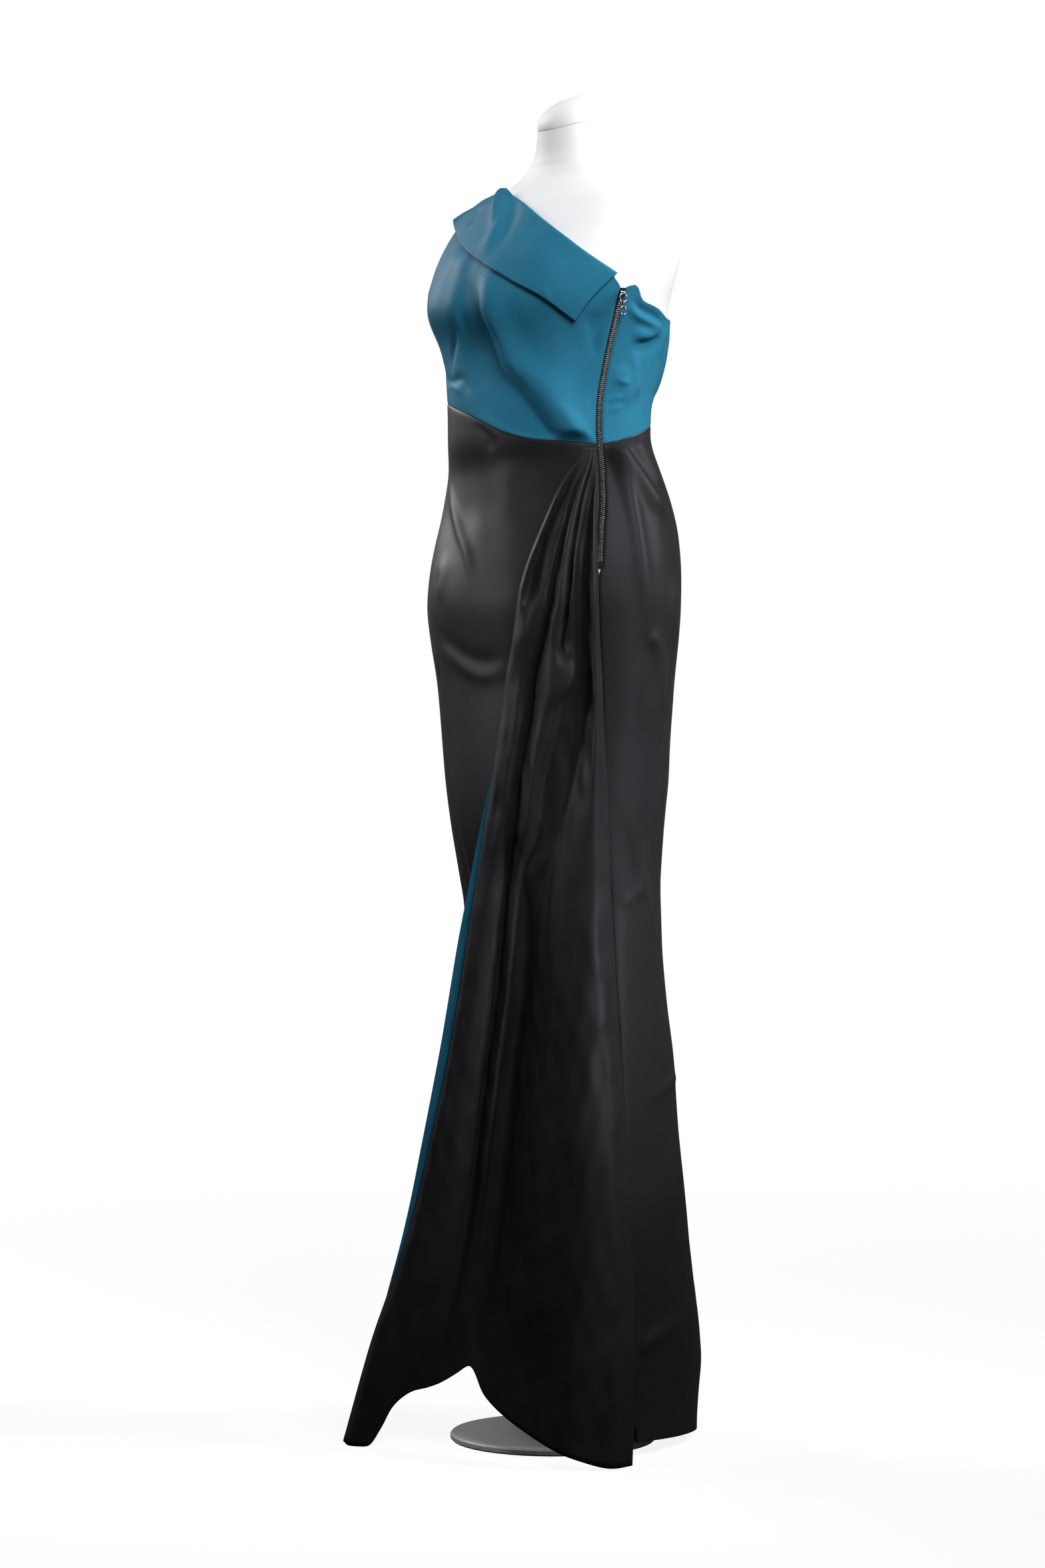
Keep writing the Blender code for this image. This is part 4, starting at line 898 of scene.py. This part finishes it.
def make_flap():
    at = shares(FLAP_MESHES, FLAP_LENGTH)
    fold, edge = (edge_at(at, (1, through(line))) for line in (FLAP_FOLD, FLAP_EDGE))
    places, *lifts = np.transpose(FLAP_LIFT)
    lift_fold, lift_edge = (smooth(at, places, lift) for lift in lifts)
    run = np.linalg.norm(figure(fold[:, 0], fold[:, 1]) - figure(edge[:, 0], edge[:, 1]), axis=-1)
    drops = np.array([flap_profile(*row) for row in zip(run, lift_fold, lift_edge)])
    share = (drops[..., 0] / run[:, None]).T
    layout = fold[None] + share[..., None] * (edge - fold)[None]
    middle = (lift_fold + (lift_edge - lift_fold) * np.clip(share, 0, 1)) + FLAP_PLY / 2
    from_end = np.clip(np.minimum(at, 1 - at) * FLAP_LENGTH / FLAP_END_ROUND, 0, 1)
    closing = np.sqrt(np.clip(1 - (1 - from_end) ** 2, 0.02, 1))
    lift = middle + (drops[..., 1].T - middle) * closing[None]
    lift = lift + creases(layout, FLAP_CREASES) + np.maximum(0, creases(layout, FRONT_BODICE_CREASES))
    return cloth("satin_collar_flap", on_figure(layout, lift)[::-1], SATIN, TEAL_SATIN)


# ---------------- side drape
HEIGHT_STEP = 0.01
PLACE_STEP = 0.002
SKIRT_TOP = 1.16
SKIRT_PLACES = np.arange(-0.25, 0.20, PLACE_STEP)
CLEAR_ABOVE = 0.085  # below this the drape hangs past the skirt's hem
DRAPE_UNEVENNESS = ((0.0005, 0.06, 0.20, 21), (0.0007, 0.035, 0.07, 27))  # height, sizes and seed
LINING_STEPS = (1.0, 0.93, 0.8, 0.6, 0.4, 0.2, 0.0)  # shares of the strip that shows
LINING_TUCK_STEPS = (0.3, 0.65, 1.0)
LINING_BEHIND = 0.0016
LINING_CLEARANCE = 0.0012
LINING_WALL = 0.0006


def skirt_reach():
    """How far out the skirt reaches: a row for each height, and a column for each place across."""
    turn = np.arange(-180, 181, 2.0)
    table = []
    for height in np.arange(0.0, SKIRT_TOP, HEIGHT_STEP):
        points = figure(turn, height) + PANEL_WALL * outward(turn, height)
        way_across, way_out = points @ ACROSS, points @ OUT
        near = slice(int(np.argmin(way_across)), int(np.argmax(way_across)) + 1)
        table.append(np.interp(SKIRT_PLACES, way_across[near], way_out[near], left=-1.0, right=-1.0))
    return np.array(table)


SKIRT_REACH = skirt_reach()


def skirt_out(across, height):
    """How far out the skirt's outer face reaches at a place across it."""
    rows, columns = SKIRT_REACH.shape
    i = np.clip(height / HEIGHT_STEP, 0, rows - 1.001)
    j = np.clip((across - SKIRT_PLACES[0]) / PLACE_STEP, 0, columns - 1.001)
    row, column = i.astype(int), j.astype(int)
    a, b = i - row, j - column
    low = SKIRT_REACH[row, column] * (1 - b) + SKIRT_REACH[row, column + 1] * b
    high = SKIRT_REACH[row + 1, column] * (1 - b) + SKIRT_REACH[row + 1, column + 1] * b
    return low * (1 - a) + high * a


def fold_table():
    """Across, out and height of each fold at each row, from the waist down."""
    rows = []
    for height, *folds in PINNED_FOLDS_MM:
        across, lift = np.reshape(folds, (-1, 2)).T * MM
        lift = np.maximum(lift + FOLD_SHARPNESS * (lift - FOLD_MIDDLE), FOLD_FLOOR)
        level = np.full(len(lift), height * MM)
        rows.append(np.stack([across, skirt_out(across, level) + lift, level], axis=-1))
    for height, *folds in FREE_FOLDS_MM:
        rows.append(np.insert(np.reshape(folds, (-1, 2)), 2, height, axis=1) * MM)
    return np.array(rows + [np.array(HEM_FOLDS_MM) * MM])


def off_the_skirt(place, gap):
    """Keeps each point at least a gap outside the skirt."""
    floor = skirt_out(place[..., 0], place[..., 2]) + gap
    over_skirt = place[..., 2] > CLEAR_ABOVE
    place[..., 1] = np.where(over_skirt, np.maximum(place[..., 1], floor), place[..., 1])
    return place


def drape_grid():
    """Across, out and height of the drape's rows, from the waist down, and columns, from its free edge."""
    table = fold_table()
    levels = table[:, :, 2].mean(axis=1)
    fall = (levels[0] - levels) / (levels[0] - levels[-1])
    _, spots, counts = zip(*FOLD_COLUMNS)
    columns = [np.linspace(*ends, count, endpoint=False) for *ends, count in zip(spots, spots[1:], counts)]
    columns = np.concatenate(columns + [spots[-1:]])
    down = np.linspace(0, 1, DRAPE_ROWS + 1)
    falls = np.array([[smooth(down, fall, fold[:, k]) for k in range(3)] for fold in table.swapaxes(0, 1)])
    rows = np.moveaxis(falls, 2, 0)
    grid = np.array([[smooth(columns, spots, row[:, k]) for k in range(3)] for row in rows])
    grid = np.moveaxis(grid, 1, 2)
    for axis, softness in enumerate(DRAPE_SOFTNESS):
        grid = soften(grid, softness, axis)
    return off_the_skirt(grid, DRAPE_CLEARANCE)


def quarter_to_frame(place):
    points = place[..., 0:1] * ACROSS + place[..., 1:2] * OUT
    points[..., 2] = place[..., 2]
    return points


def grid_normals(points):
    return unit(np.cross(np.gradient(points, axis=1), np.gradient(points, axis=0)))


def make_drape():
    points = quarter_to_frame(drape_grid())[::-1]
    soft = sum(high * uneven(points, *sizes_and_seed) for high, *sizes_and_seed in DRAPE_UNEVENNESS)
    soft = soft * step_up(nearest_edge(points) / UNEVEN_EASE)
    points = points + grid_normals(points) * soft[..., None]
    made = cloth("satin_side_drape", points, SATIN, BLACK_SATIN, LINING_SATIN, BLACK_SATIN, BLACK_SATIN)
    for face in made.data.polygons:
        if face.center.z > LINED_BELOW:
            face.material_index = 2
    return made, points


def make_lining():
    """The lining that turns past the drape's free edge as a strip."""
    first, last = (int(share * DRAPE_ROWS) for share in LINING_REACH)
    edge = drape_grid()[first : last + 1]
    into = edge[:, 4] - edge[:, 0]
    into[:, 2] = 0
    into = unit(into)
    behind = np.stack([into[:, 1], -into[:, 0], np.zeros(len(into))], axis=-1)
    tucked = edge[:, 0] + behind * LINING_BEHIND
    taper = np.sin(math.pi * (0.03 + 0.94 * np.linspace(0, 1, len(edge)))) ** 0.75
    shows = np.array([1.0, LINING_DROOP, 0]) * (LINING_SHOWS * taper)[:, None]
    columns = [tucked - shows * share for share in LINING_STEPS]
    columns += [tucked + into * LINING_TUCK * share for share in LINING_TUCK_STEPS]
    sheet = off_the_skirt(np.stack(columns, axis=1), LINING_CLEARANCE)
    return cloth("satin_drape_lining", quarter_to_frame(sheet)[::-1], LINING_WALL, LINING_SATIN)


# ---------------- repeats along a path
def repeat_tree():
    """Sets a small shape at even steps along a path, standing on the path's own outward direction."""
    tree = bpy.data.node_groups.new("repeat_along_path", "GeometryNodeTree")
    for name, way, kind in (
        ("Path", "INPUT", "NodeSocketGeometry"),
        ("Shape", "INPUT", "NodeSocketObject"),
        ("Pitch", "INPUT", "NodeSocketFloat"),
        ("Alternate turn", "INPUT", "NodeSocketFloat"),
        ("Material", "INPUT", "NodeSocketMaterial"),
        ("Row", "OUTPUT", "NodeSocketGeometry"),
    ):
        tree.interface.new_socket(name, in_out=way, socket_type=kind)

    def step(kind, feeds=None, output=0, **settings):
        return add(tree, kind, feeds, **settings).outputs[output]

    given = add(tree, "NodeGroupInput").outputs
    curve = step("GeometryNodeMeshToCurve", {"Mesh": given["Path"]})
    stops = step("GeometryNodeResampleCurve", {"Curve": curve, "Length": given["Pitch"]}, mode="LENGTH")
    out = step("GeometryNodeInputNamedAttribute", {"Name": "outward"}, "Attribute", data_type="FLOAT_VECTOR")
    upright = step("FunctionNodeAlignRotationToVector", {"Vector": out}, axis="Z")
    facing = {"Rotation": upright, "Vector": step("GeometryNodeInputTangent")}
    facing = step("FunctionNodeAlignRotationToVector", facing, axis="Y", pivot_axis="Z")
    odd = calculated(tree, "MODULO", step("GeometryNodeInputIndex"), 2.0)
    turn = calculated(tree, "MULTIPLY", odd, given["Alternate turn"])
    spun = step("FunctionNodeEulerToRotation", {0: step("ShaderNodeCombineXYZ", {"Z": turn})})
    spun = {"Rotation": facing, "Rotate By": spun}
    spun = step("FunctionNodeRotateRotation", spun, rotation_space="LOCAL")
    shape = step("GeometryNodeObjectInfo", {"Object": given["Shape"]}, "Geometry")
    placed = {"Points": stops, "Instance": shape, "Rotation": spun}
    real = step("GeometryNodeRealizeInstances", {0: step("GeometryNodeInstanceOnPoints", placed)})
    coated = step("GeometryNodeSetMaterial", {"Geometry": real, "Material": given["Material"]})
    add(tree, "NodeGroupOutput", {"Row": coated})
    return tree


REPEAT = repeat_tree()


def path_mesh(name, paths):
    """Lines of points that carry their outward direction. Each path is (points, outward directions)."""
    points, outs, edges = [], [], []
    for line, facing in paths:
        start = len(points)
        points += line.tolist()
        outs += facing.tolist()
        edges += [(i, i + 1) for i in range(start, len(points) - 1)]
    mesh = bpy.data.meshes.new(name)
    mesh.from_pydata(points, edges, [])
    kept = mesh.attributes.new("outward", "FLOAT_VECTOR", "POINT")
    kept.data.foreach_set("vector", np.array(outs, np.float32).reshape(-1))
    return mesh


def repeated(name, paths, shape, pitch, turn, material):
    """Repeats a small shape along paths as one plain mesh, and takes the small shape away."""
    carrier = place_object(name + "_path", path_mesh(name + "_path", paths))
    row = carrier.modifiers.new("row", "NODES")
    row.node_group = REPEAT
    keys = {item.name: item.identifier for item in REPEAT.interface.items_tree if item.in_out == "INPUT"}
    values = {"Shape": shape, "Pitch": pitch, "Alternate turn": turn, "Material": material}
    for socket, value in values.items():
        row[keys[socket]] = value
    bpy.context.view_layer.update()
    depsgraph = bpy.context.evaluated_depsgraph_get()
    mesh = bpy.data.meshes.new_from_object(carrier.evaluated_get(depsgraph))
    mesh.name = name
    mesh.materials.clear()
    for used in (carrier, shape):
        bpy.data.objects.remove(used, do_unlink=True)
    return place_object(name, mesh, material)


# ---------------- zip
TAPE_HALF = 0.0062
TAPE_LIFT = 0.0001
TAPE_WALL = 0.0005
TAPE_CORD = (0.0004, 0.0016, 0.0008)  # height, distance from the middle and half width of its two cords
TEETH_LIFT = 0.0012
TOOTH_PITCH = 0.00115
TOOTH = (0.0034, 0.00078, 0.0016)  # across, along, out
TOOTH_PAST = 0.30  # share of a tooth's width that lies on the other side of the middle line
TOOTH_TIP = 0.62
TOOTH_BEVEL = 0.00022
SLIDER_HEIGHT = 1.2595
HINGE_STANDOFF = 0.0011
HINGE_UP_SLIDER = 0.0022
SLIDER_OUTLINE_MM = (  # across and up, down one side
    (0.0, 5.0), (1.4, 4.9), (2.6, 4.3), (3.2, 3.2), (3.1, 1.5), (2.6, -0.5), (2.2, -2.6),
    (2.0, -4.2), (1.3, -4.9), (0.0, -5.0),
)
SLIDER_LEVELS_MM = ((-2.2, 0.90), (-1.9, 1.0), (-0.6, 1.0), (-0.1, 0.90), (0.0, 0.72))  # out, and its size
LOOP_RADIUS = 0.0016
LOOP_WIRE = 0.0005
LINK_WIRE = 0.0007
LINK_PLAY = 0.0003
LINKS = (  # name, body, width, length, way it faces
    ("oval_link_upper", "pull_1", "pull_link_1", 0.0090, 0.0105, "face"),
    ("oval_link_middle", "pull_2", "pull_link_2", 0.0050, 0.0095, "edge"),
    ("oval_link_lower", "pull_3", "pull_link_3", 0.0066, 0.0105, "face"),
)


def zip_line(foot, top, count, lift=0.0):
    """Points up the zip's middle line, with their outward directions."""
    heights = np.linspace(foot, top, count)
    azimuth = side_line(heights)
    facing = outward(azimuth, heights)
    return figure(azimuth, heights) + lift * facing, facing


def make_tape():
    heights = np.linspace(ZIP_FOOT - 0.004, ZIP_TOP - 0.001, 150)
    asides = np.linspace(-TAPE_HALF, TAPE_HALF, 15)
    columns = [along_ring(side_line(heights), heights, aside) for aside in asides]
    layout = np.stack([np.stack([column, heights], axis=-1) for column in columns], axis=1)
    high, place, half_width = TAPE_CORD
    cord = high * np.exp(-(((np.abs(asides) - place) / half_width) ** 2))
    lift = TAPE_LIFT + np.broadcast_to(cord, layout.shape[:2])
    return cloth("woven_zip_tape", on_figure(layout, lift), TAPE_WALL, TAPE)


def make_teeth():
    """A row of rounded bars that reach a little past the middle line from both sides by turns."""
    wide, tall, deep = TOOTH
    shape = bmesh.new()
    bmesh.ops.create_cube(shape, size=1)
    for vert in shape.verts:
        slim = TOOTH_TIP if vert.co.x > 0 else 1.0
        vert.co = ((vert.co.x - TOOTH_PAST) * wide, vert.co.y * tall * slim, vert.co.z * deep)
    bmesh.ops.bevel(
        shape, geom=list(shape.edges), offset=TOOTH_BEVEL, segments=1, affect="EDGES", profile=0.5
    )
    tooth = solid("zip_tooth", shape, GUNMETAL)
    row = zip_line(ZIP_FOOT + 0.003, SLIDER_HEIGHT + 0.004, 300, TEETH_LIFT)
    return repeated("zip_teeth", [row], tooth, TOOTH_PITCH, math.pi, GUNMETAL)


def pull_hinge():
    joint = next(joint for joint in frame["joints"] if joint["name"] == "pull_1_swing")
    return Vector(joint["pos_m"]), Vector(joint["axis"])


def make_slider():
    """The slider: a waisted body with two shoulders, and the loop on its face that the pull hangs in."""
    centre, _ = pull_hinge()
    place, facing = zip_line(SLIDER_HEIGHT - 0.003, SLIDER_HEIGHT + 0.003, 3)
    out = Vector(facing[1])
    up = Vector(place[2] - place[0])
    up = (up - out * up.dot(out)).normalized()
    across = up.cross(out)
    face = centre - out * HINGE_STANDOFF - up * HINGE_UP_SLIDER
    outline = SLIDER_OUTLINE_MM + tuple((-x, y) for x, y in SLIDER_OUTLINE_MM[-2:0:-1])
    shape = bmesh.new()
    skin(shape, [
        [face + (across * (x * size) + up * (y * size) + out * depth) * MM for x, y in outline]
        for depth, size in SLIDER_LEVELS_MM
    ])
    turns = [math.radians(degrees) for degrees in range(-130, 131, 13)]
    arc = [centre + (up * math.sin(a) + out * math.cos(a)) * LOOP_RADIUS for a in turns]
    wire(shape, arc, LOOP_WIRE, 12)
    bmesh.ops.recalc_face_normals(shape, faces=shape.faces)
    return solid("zip_slider_body", shape, GUNMETAL, sharp=60)


def oval(top, width, length, sideways):
    """Points round an oval link whose top arc has its middle at a point."""
    radius = width / 2 - LINK_WIRE
    down = Vector((0, 0, -1))
    middle = top + down * radius
    points = []
    for start, drop in ((0.0, 0.0), (math.pi, length - width)):
        for angle in (start + math.pi * i / 16 for i in range(17)):
            around = sideways * (radius * math.cos(angle))
            points.append(middle + around - down * (radius * math.sin(angle) - drop))
    return points


def make_links():
    top, level = pull_hinge()
    ways = {"face": level, "edge": Vector((-level.y, level.x, 0))}
    for name, body, node, width, length, faces in LINKS:
        shape = bmesh.new()
        wire(shape, oval(top, width, length, ways[faces]), LINK_WIRE, 14, closed=True)
        bmesh.ops.recalc_face_normals(shape, faces=shape.faces)
        declare(solid(name, shape, BRIGHT_LINK), "gunmetal", node, body=body)
        top = top - Vector((0, 0, length - 4 * LINK_WIRE - LINK_PLAY))


# ---------------- stitches
STITCH = (0.00050, 0.0022, 0.00032)  # across, along, out
STITCH_PITCH = 0.0029
BLIND_PITCH = 0.0095
STITCH_PROUD = 0.00052  # from the middle of the cloth to the middle of the thread
STITCH_DIVE = 0.3  # how deep its ends go into the cloth, in heights of the stitch


def stitch_object(name, look):
    """One machine stitch: a short thread that dives into the cloth at both its ends."""
    wide, long, deep = STITCH
    shape = bmesh.new()
    bmesh.ops.create_icosphere(shape, subdivisions=1, radius=0.5)
    for vert in shape.verts:
        dive = STITCH_DIVE * deep * (2 * vert.co.y) ** 2
        vert.co = (vert.co.x * wide, vert.co.y * long, vert.co.z * deep - dive)
    return solid(name, shape, look)


def seam_line(points, row=slice(None), column=slice(None), above=-1.0):
    """A line of stitches along a row or column of a piece's points, above a height."""
    line, out = points[row, column], grid_normals(points)[row, column]
    keep = line[:, 2] > above
    return (line + out * STITCH_PROUD)[keep], out[keep]


def make_stitches():
    teal = [
        seam_line(front_points, column=-4),
        seam_line(back_points, column=3),
        seam_line(back_points, row=-4),
        seam_line(back_points, column=-4, above=ARMHOLE_FOOT),
        seam_line(front_points, column=3, above=ARMHOLE_FOOT),
    ]
    black = [
        seam_line(front_skirt_points, column=-4, above=ZIP_FOOT),
        seam_line(back_skirt_points, column=3, above=ZIP_FOOT),
    ]
    blind = [
        seam_line(front_skirt_points, row=8),
        seam_line(back_skirt_points, row=8),
        seam_line(drape_points, row=5),
    ]
    for name, paths, pitch, look, slot in (
        ("bodice_top_stitches", teal, STITCH_PITCH, THREAD, "teal_satin"),
        ("zip_top_stitches", black, STITCH_PITCH, DARK_THREAD, "black_satin"),
        ("hem_blind_stitches", blind, BLIND_PITCH, DARK_THREAD, "black_satin"),
    ):
        declare(repeated(name, paths, stitch_object(name + "_unit", look), pitch, 0.0, look), slot)


# ---------------- form
FORM_FOOT = 0.850
FORM_FOOT_TURNED = 0.0015
FORM_TOP = 1.476
NECK_TILT = math.radians(19)
NECK_TILT_FROM = 1.415
CAP_RISE = 0.027
CAP_EASE = 0.999  # width of the cap's foot, in widths of the neck
CAP_GAP = 0.0003
CAP_STEP = 0.0004
FORM_SEGMENTS = 128
EASE_MM = (
    (850, 2.6), (1270, 2.6), (1350, 3.8), (1376, 7.2), (1388, 9.4), (1402, 8.6), (1414, 5.5),
    (1430, 3.0), (1490, 3.0),
)


def form_ring(height, inward=0.0):
    azimuth = np.arange(FORM_SEGMENTS) * 360.0 / FORM_SEGMENTS - 180
    level = np.full(FORM_SEGMENTS, height)
    ease = np.interp(height, *(np.transpose(EASE_MM) * MM)) + inward
    points = figure(azimuth, level) - ease * outward(azimuth, level)
    share = np.clip((height - NECK_TILT_FROM) / (FORM_TOP - NECK_TILT_FROM), 0, 1)
    points[:, 2] = height + share * math.tan(NECK_TILT) * (points[:, 1] - ring("centre", height))
    return points


def lofted(name, rings):
    """A closed skin of lacquer through rings of points that run anticlockwise seen from above."""
    shape = bmesh.new()
    skin(shape, rings)
    return solid(name, shape, FORM_LACQUER, sharp=50)


def make_form():
    heights = np.concatenate([np.linspace(FORM_FOOT, 1.33, 90), np.linspace(1.335, FORM_TOP, 50)])
    rings = [form_ring(FORM_FOOT, FORM_FOOT_TURNED)] + [form_ring(height) for height in heights[1:]]
    neck = form_ring(FORM_TOP)
    middle = neck.mean(axis=0)
    normal = np.array([0, -math.sin(NECK_TILT), math.cos(NECK_TILT)])
    domes = [middle + (neck - middle) * CAP_EASE + normal * CAP_GAP]
    for angle in np.linspace(0.03, 1.5, 22):
        rise = CAP_STEP + CAP_RISE * math.sin(angle)
        domes.append(middle + (neck - middle) * math.cos(angle) + normal * rise)
    return lofted("smooth_form_torso", rings), lofted("smooth_neck_cap", domes)


# ---------------- putting it together
panels = make_panels()
(bodice_front, front_points), (bodice_back, back_points) = panels[:2]
(skirt_front, front_skirt_points), (skirt_back, back_skirt_points) = panels[2:]
flap = make_flap()
drape, drape_points = make_drape()
lining = make_lining()
tape = make_tape()
teeth = make_teeth()
slider = make_slider()
make_links()
torso, cap = make_form()
make_stitches()
declare(teeth, "gunmetal", "zip_chain")
declare(slider, "gunmetal", "zip_slider")
declare(torso, "form_skin", "form_torso")
declare(cap, "form_skin", "form_neck_cap")

SHEETS = (  # piece, its finish, the node it stands for, flat size, flat area, how it is held and on what
    (bodice_front, "teal_satin", "bodice_front", (0.41, 0.32), 0.0861, "draped", "smooth_form_torso"),
    (bodice_back, "teal_satin", "bodice_back", (0.36, 0.30), 0.0645, "draped", "smooth_form_torso"),
    (skirt_front, "black_satin", "skirt_front", (0.42, 1.10), 0.3542, "draped", "smooth_form_torso"),
    (skirt_back, "black_satin", "skirt_back", (0.60, 1.17), 0.5228, "draped", "smooth_form_torso"),
    (flap, "teal_satin", "collar_flap", (0.33, 0.15), 0.0364, "folded", "satin_bodice_front"),
    (drape, "black_satin", "side_drape", (0.48, 1.16), 0.2603, "gathered", "satin_skirt_front"),
    (lining, "teal_satin", "drape_lining", (0.024, 0.66), 0.0128, "draped", "satin_side_drape"),
    (tape, "tape_cloth", "zip_tape", (0.0135, 0.305), 0.0041, "stretched", "satin_bodice_back"),
)
for piece, slot, node, flat, area, held, under in SHEETS:
    declare(piece, slot, node)

for name in ("stand_pole", "stand_base"):
    looks = frame["nodes"][name].data.materials
    looks.clear()
    looks.append(STAND_COAT)


# ---------------- floor, light, camera
FLOOR_HALF = 30.0
FLOOR_BELOW = 0.0005
WHITE = linear("#FFFFFF")
SENSOR_HEIGHT = 24
FOCAL_SHARE = 5503 / 2352  # focal length in heights of the view
CAMERA_AWAY = 4.1
CAMERA_ASIDE = 0.0343
CAMERA_HEIGHT = 0.731


def make_floor():
    """A pale floor that looks lit, but throws little light back up at the black satin."""
    corners = [(-1, -1), (1, -1), (1, 1), (-1, 1)]
    mesh = bpy.data.meshes.new("studio_floor")
    mesh.from_pydata([(x * FLOOR_HALF, y * FLOOR_HALF, -FLOOR_BELOW) for x, y in corners], [], [(0, 1, 2, 3)])
    made, tree = new_material("pale_studio_floor")
    seen = add(tree, "ShaderNodeLightPath").outputs["Is Camera Ray"]
    paint, dull = (
        add(tree, "ShaderNodeBsdfDiffuse", {"Color": linear(tone)}).outputs[0]
        for tone in ("#8C8C8C", "#3C3C3C")
    )
    away = add(tree, "ShaderNodeVectorMath", {0: object_place(tree)}, operation="LENGTH").outputs["Value"]
    glow = {"Color": WHITE, "Strength": spread(tree, away, (0.6, 4.0), (0.88, 1.0))}
    glow = add(tree, "ShaderNodeEmission", glow).outputs[0]
    bright = add(tree, "ShaderNodeAddShader", {0: paint, 1: glow}).outputs[0]
    finished(made, add(tree, "ShaderNodeMixShader", {0: seen, 1: dull, 2: bright}))
    place_object("studio_floor", mesh, made)


def soft_light(name, azimuth, height, distance, size, power, aim_height, spread_angle):
    light = bpy.data.lights.new(name, "AREA")
    light.shape = "RECTANGLE"
    light.size, light.size_y = size
    light.energy = power
    light.spread = math.radians(spread_angle)
    obj = bpy.data.objects.new(name, light)
    turn = math.radians(azimuth)
    obj.location = (distance * math.cos(turn), distance * math.sin(turn), height)
    way = Vector((0, 0, aim_height)) - obj.location
    obj.rotation_euler = way.to_track_quat("-Z", "Y").to_euler()
    bpy.context.scene.collection.objects.link(obj)


def make_world():
    world = bpy.data.worlds.new("studio")
    bpy.context.scene.world = world
    world.use_nodes = True
    tree = world.node_tree
    tree.nodes.clear()
    seen = add(tree, "ShaderNodeLightPath").outputs["Is Camera Ray"]
    glow, back = (
        add(tree, "ShaderNodeBackground", {"Color": WHITE, "Strength": strength}).outputs[0]
        for strength in (0.10, 1.0)
    )
    both = add(tree, "ShaderNodeMixShader", {0: seen, 1: glow, 2: back}).outputs[0]
    add(tree, "ShaderNodeOutputWorld", {"Surface": both})


def make_camera():
    camera = bpy.data.cameras.new("camera")
    camera.sensor_fit = "VERTICAL"
    camera.sensor_height = SENSOR_HEIGHT
    camera.lens = SENSOR_HEIGHT * FOCAL_SHARE
    obj = bpy.data.objects.new("camera", camera)
    obj.location = Vector(OUT * CAMERA_AWAY - ACROSS * CAMERA_ASIDE) + Vector((0, 0, CAMERA_HEIGHT))
    obj.rotation_euler = (math.radians(90), 0, DRAPE_QUARTER)
    bpy.context.scene.collection.objects.link(obj)
    bpy.context.scene.camera = obj


make_floor()
make_world()
make_camera()
bpy.context.scene.view_settings.view_transform = "Standard"
for softbox in (  # azimuth, height, distance, size, power, height it is aimed at, spread in degrees
    ("key_softbox", -22, 2.4, 2.3, (1.1, 1.1), 8.4, 1.30, 60),
    ("left_softbox", -150, 2.3, 2.2, (1.2, 1.2), 1.6, 1.25, 60),
    ("left_edge_softbox", -172, 2.2, 2.2, (1.0, 1.3), 5.5, 1.25, 60),
    ("hip_softbox", -125, 1.15, 2.4, (0.6, 0.5), 0.40, 0.91, 11),
    ("drape_softbox", 5, 1.0, 2.2, (0.3, 0.5), 0.45, 0.62, 14),
    ("back_softbox", 38, 2.3, 2.2, (1.0, 1.2), 8.5, 1.25, 60),
):
    soft_light(*softbox)
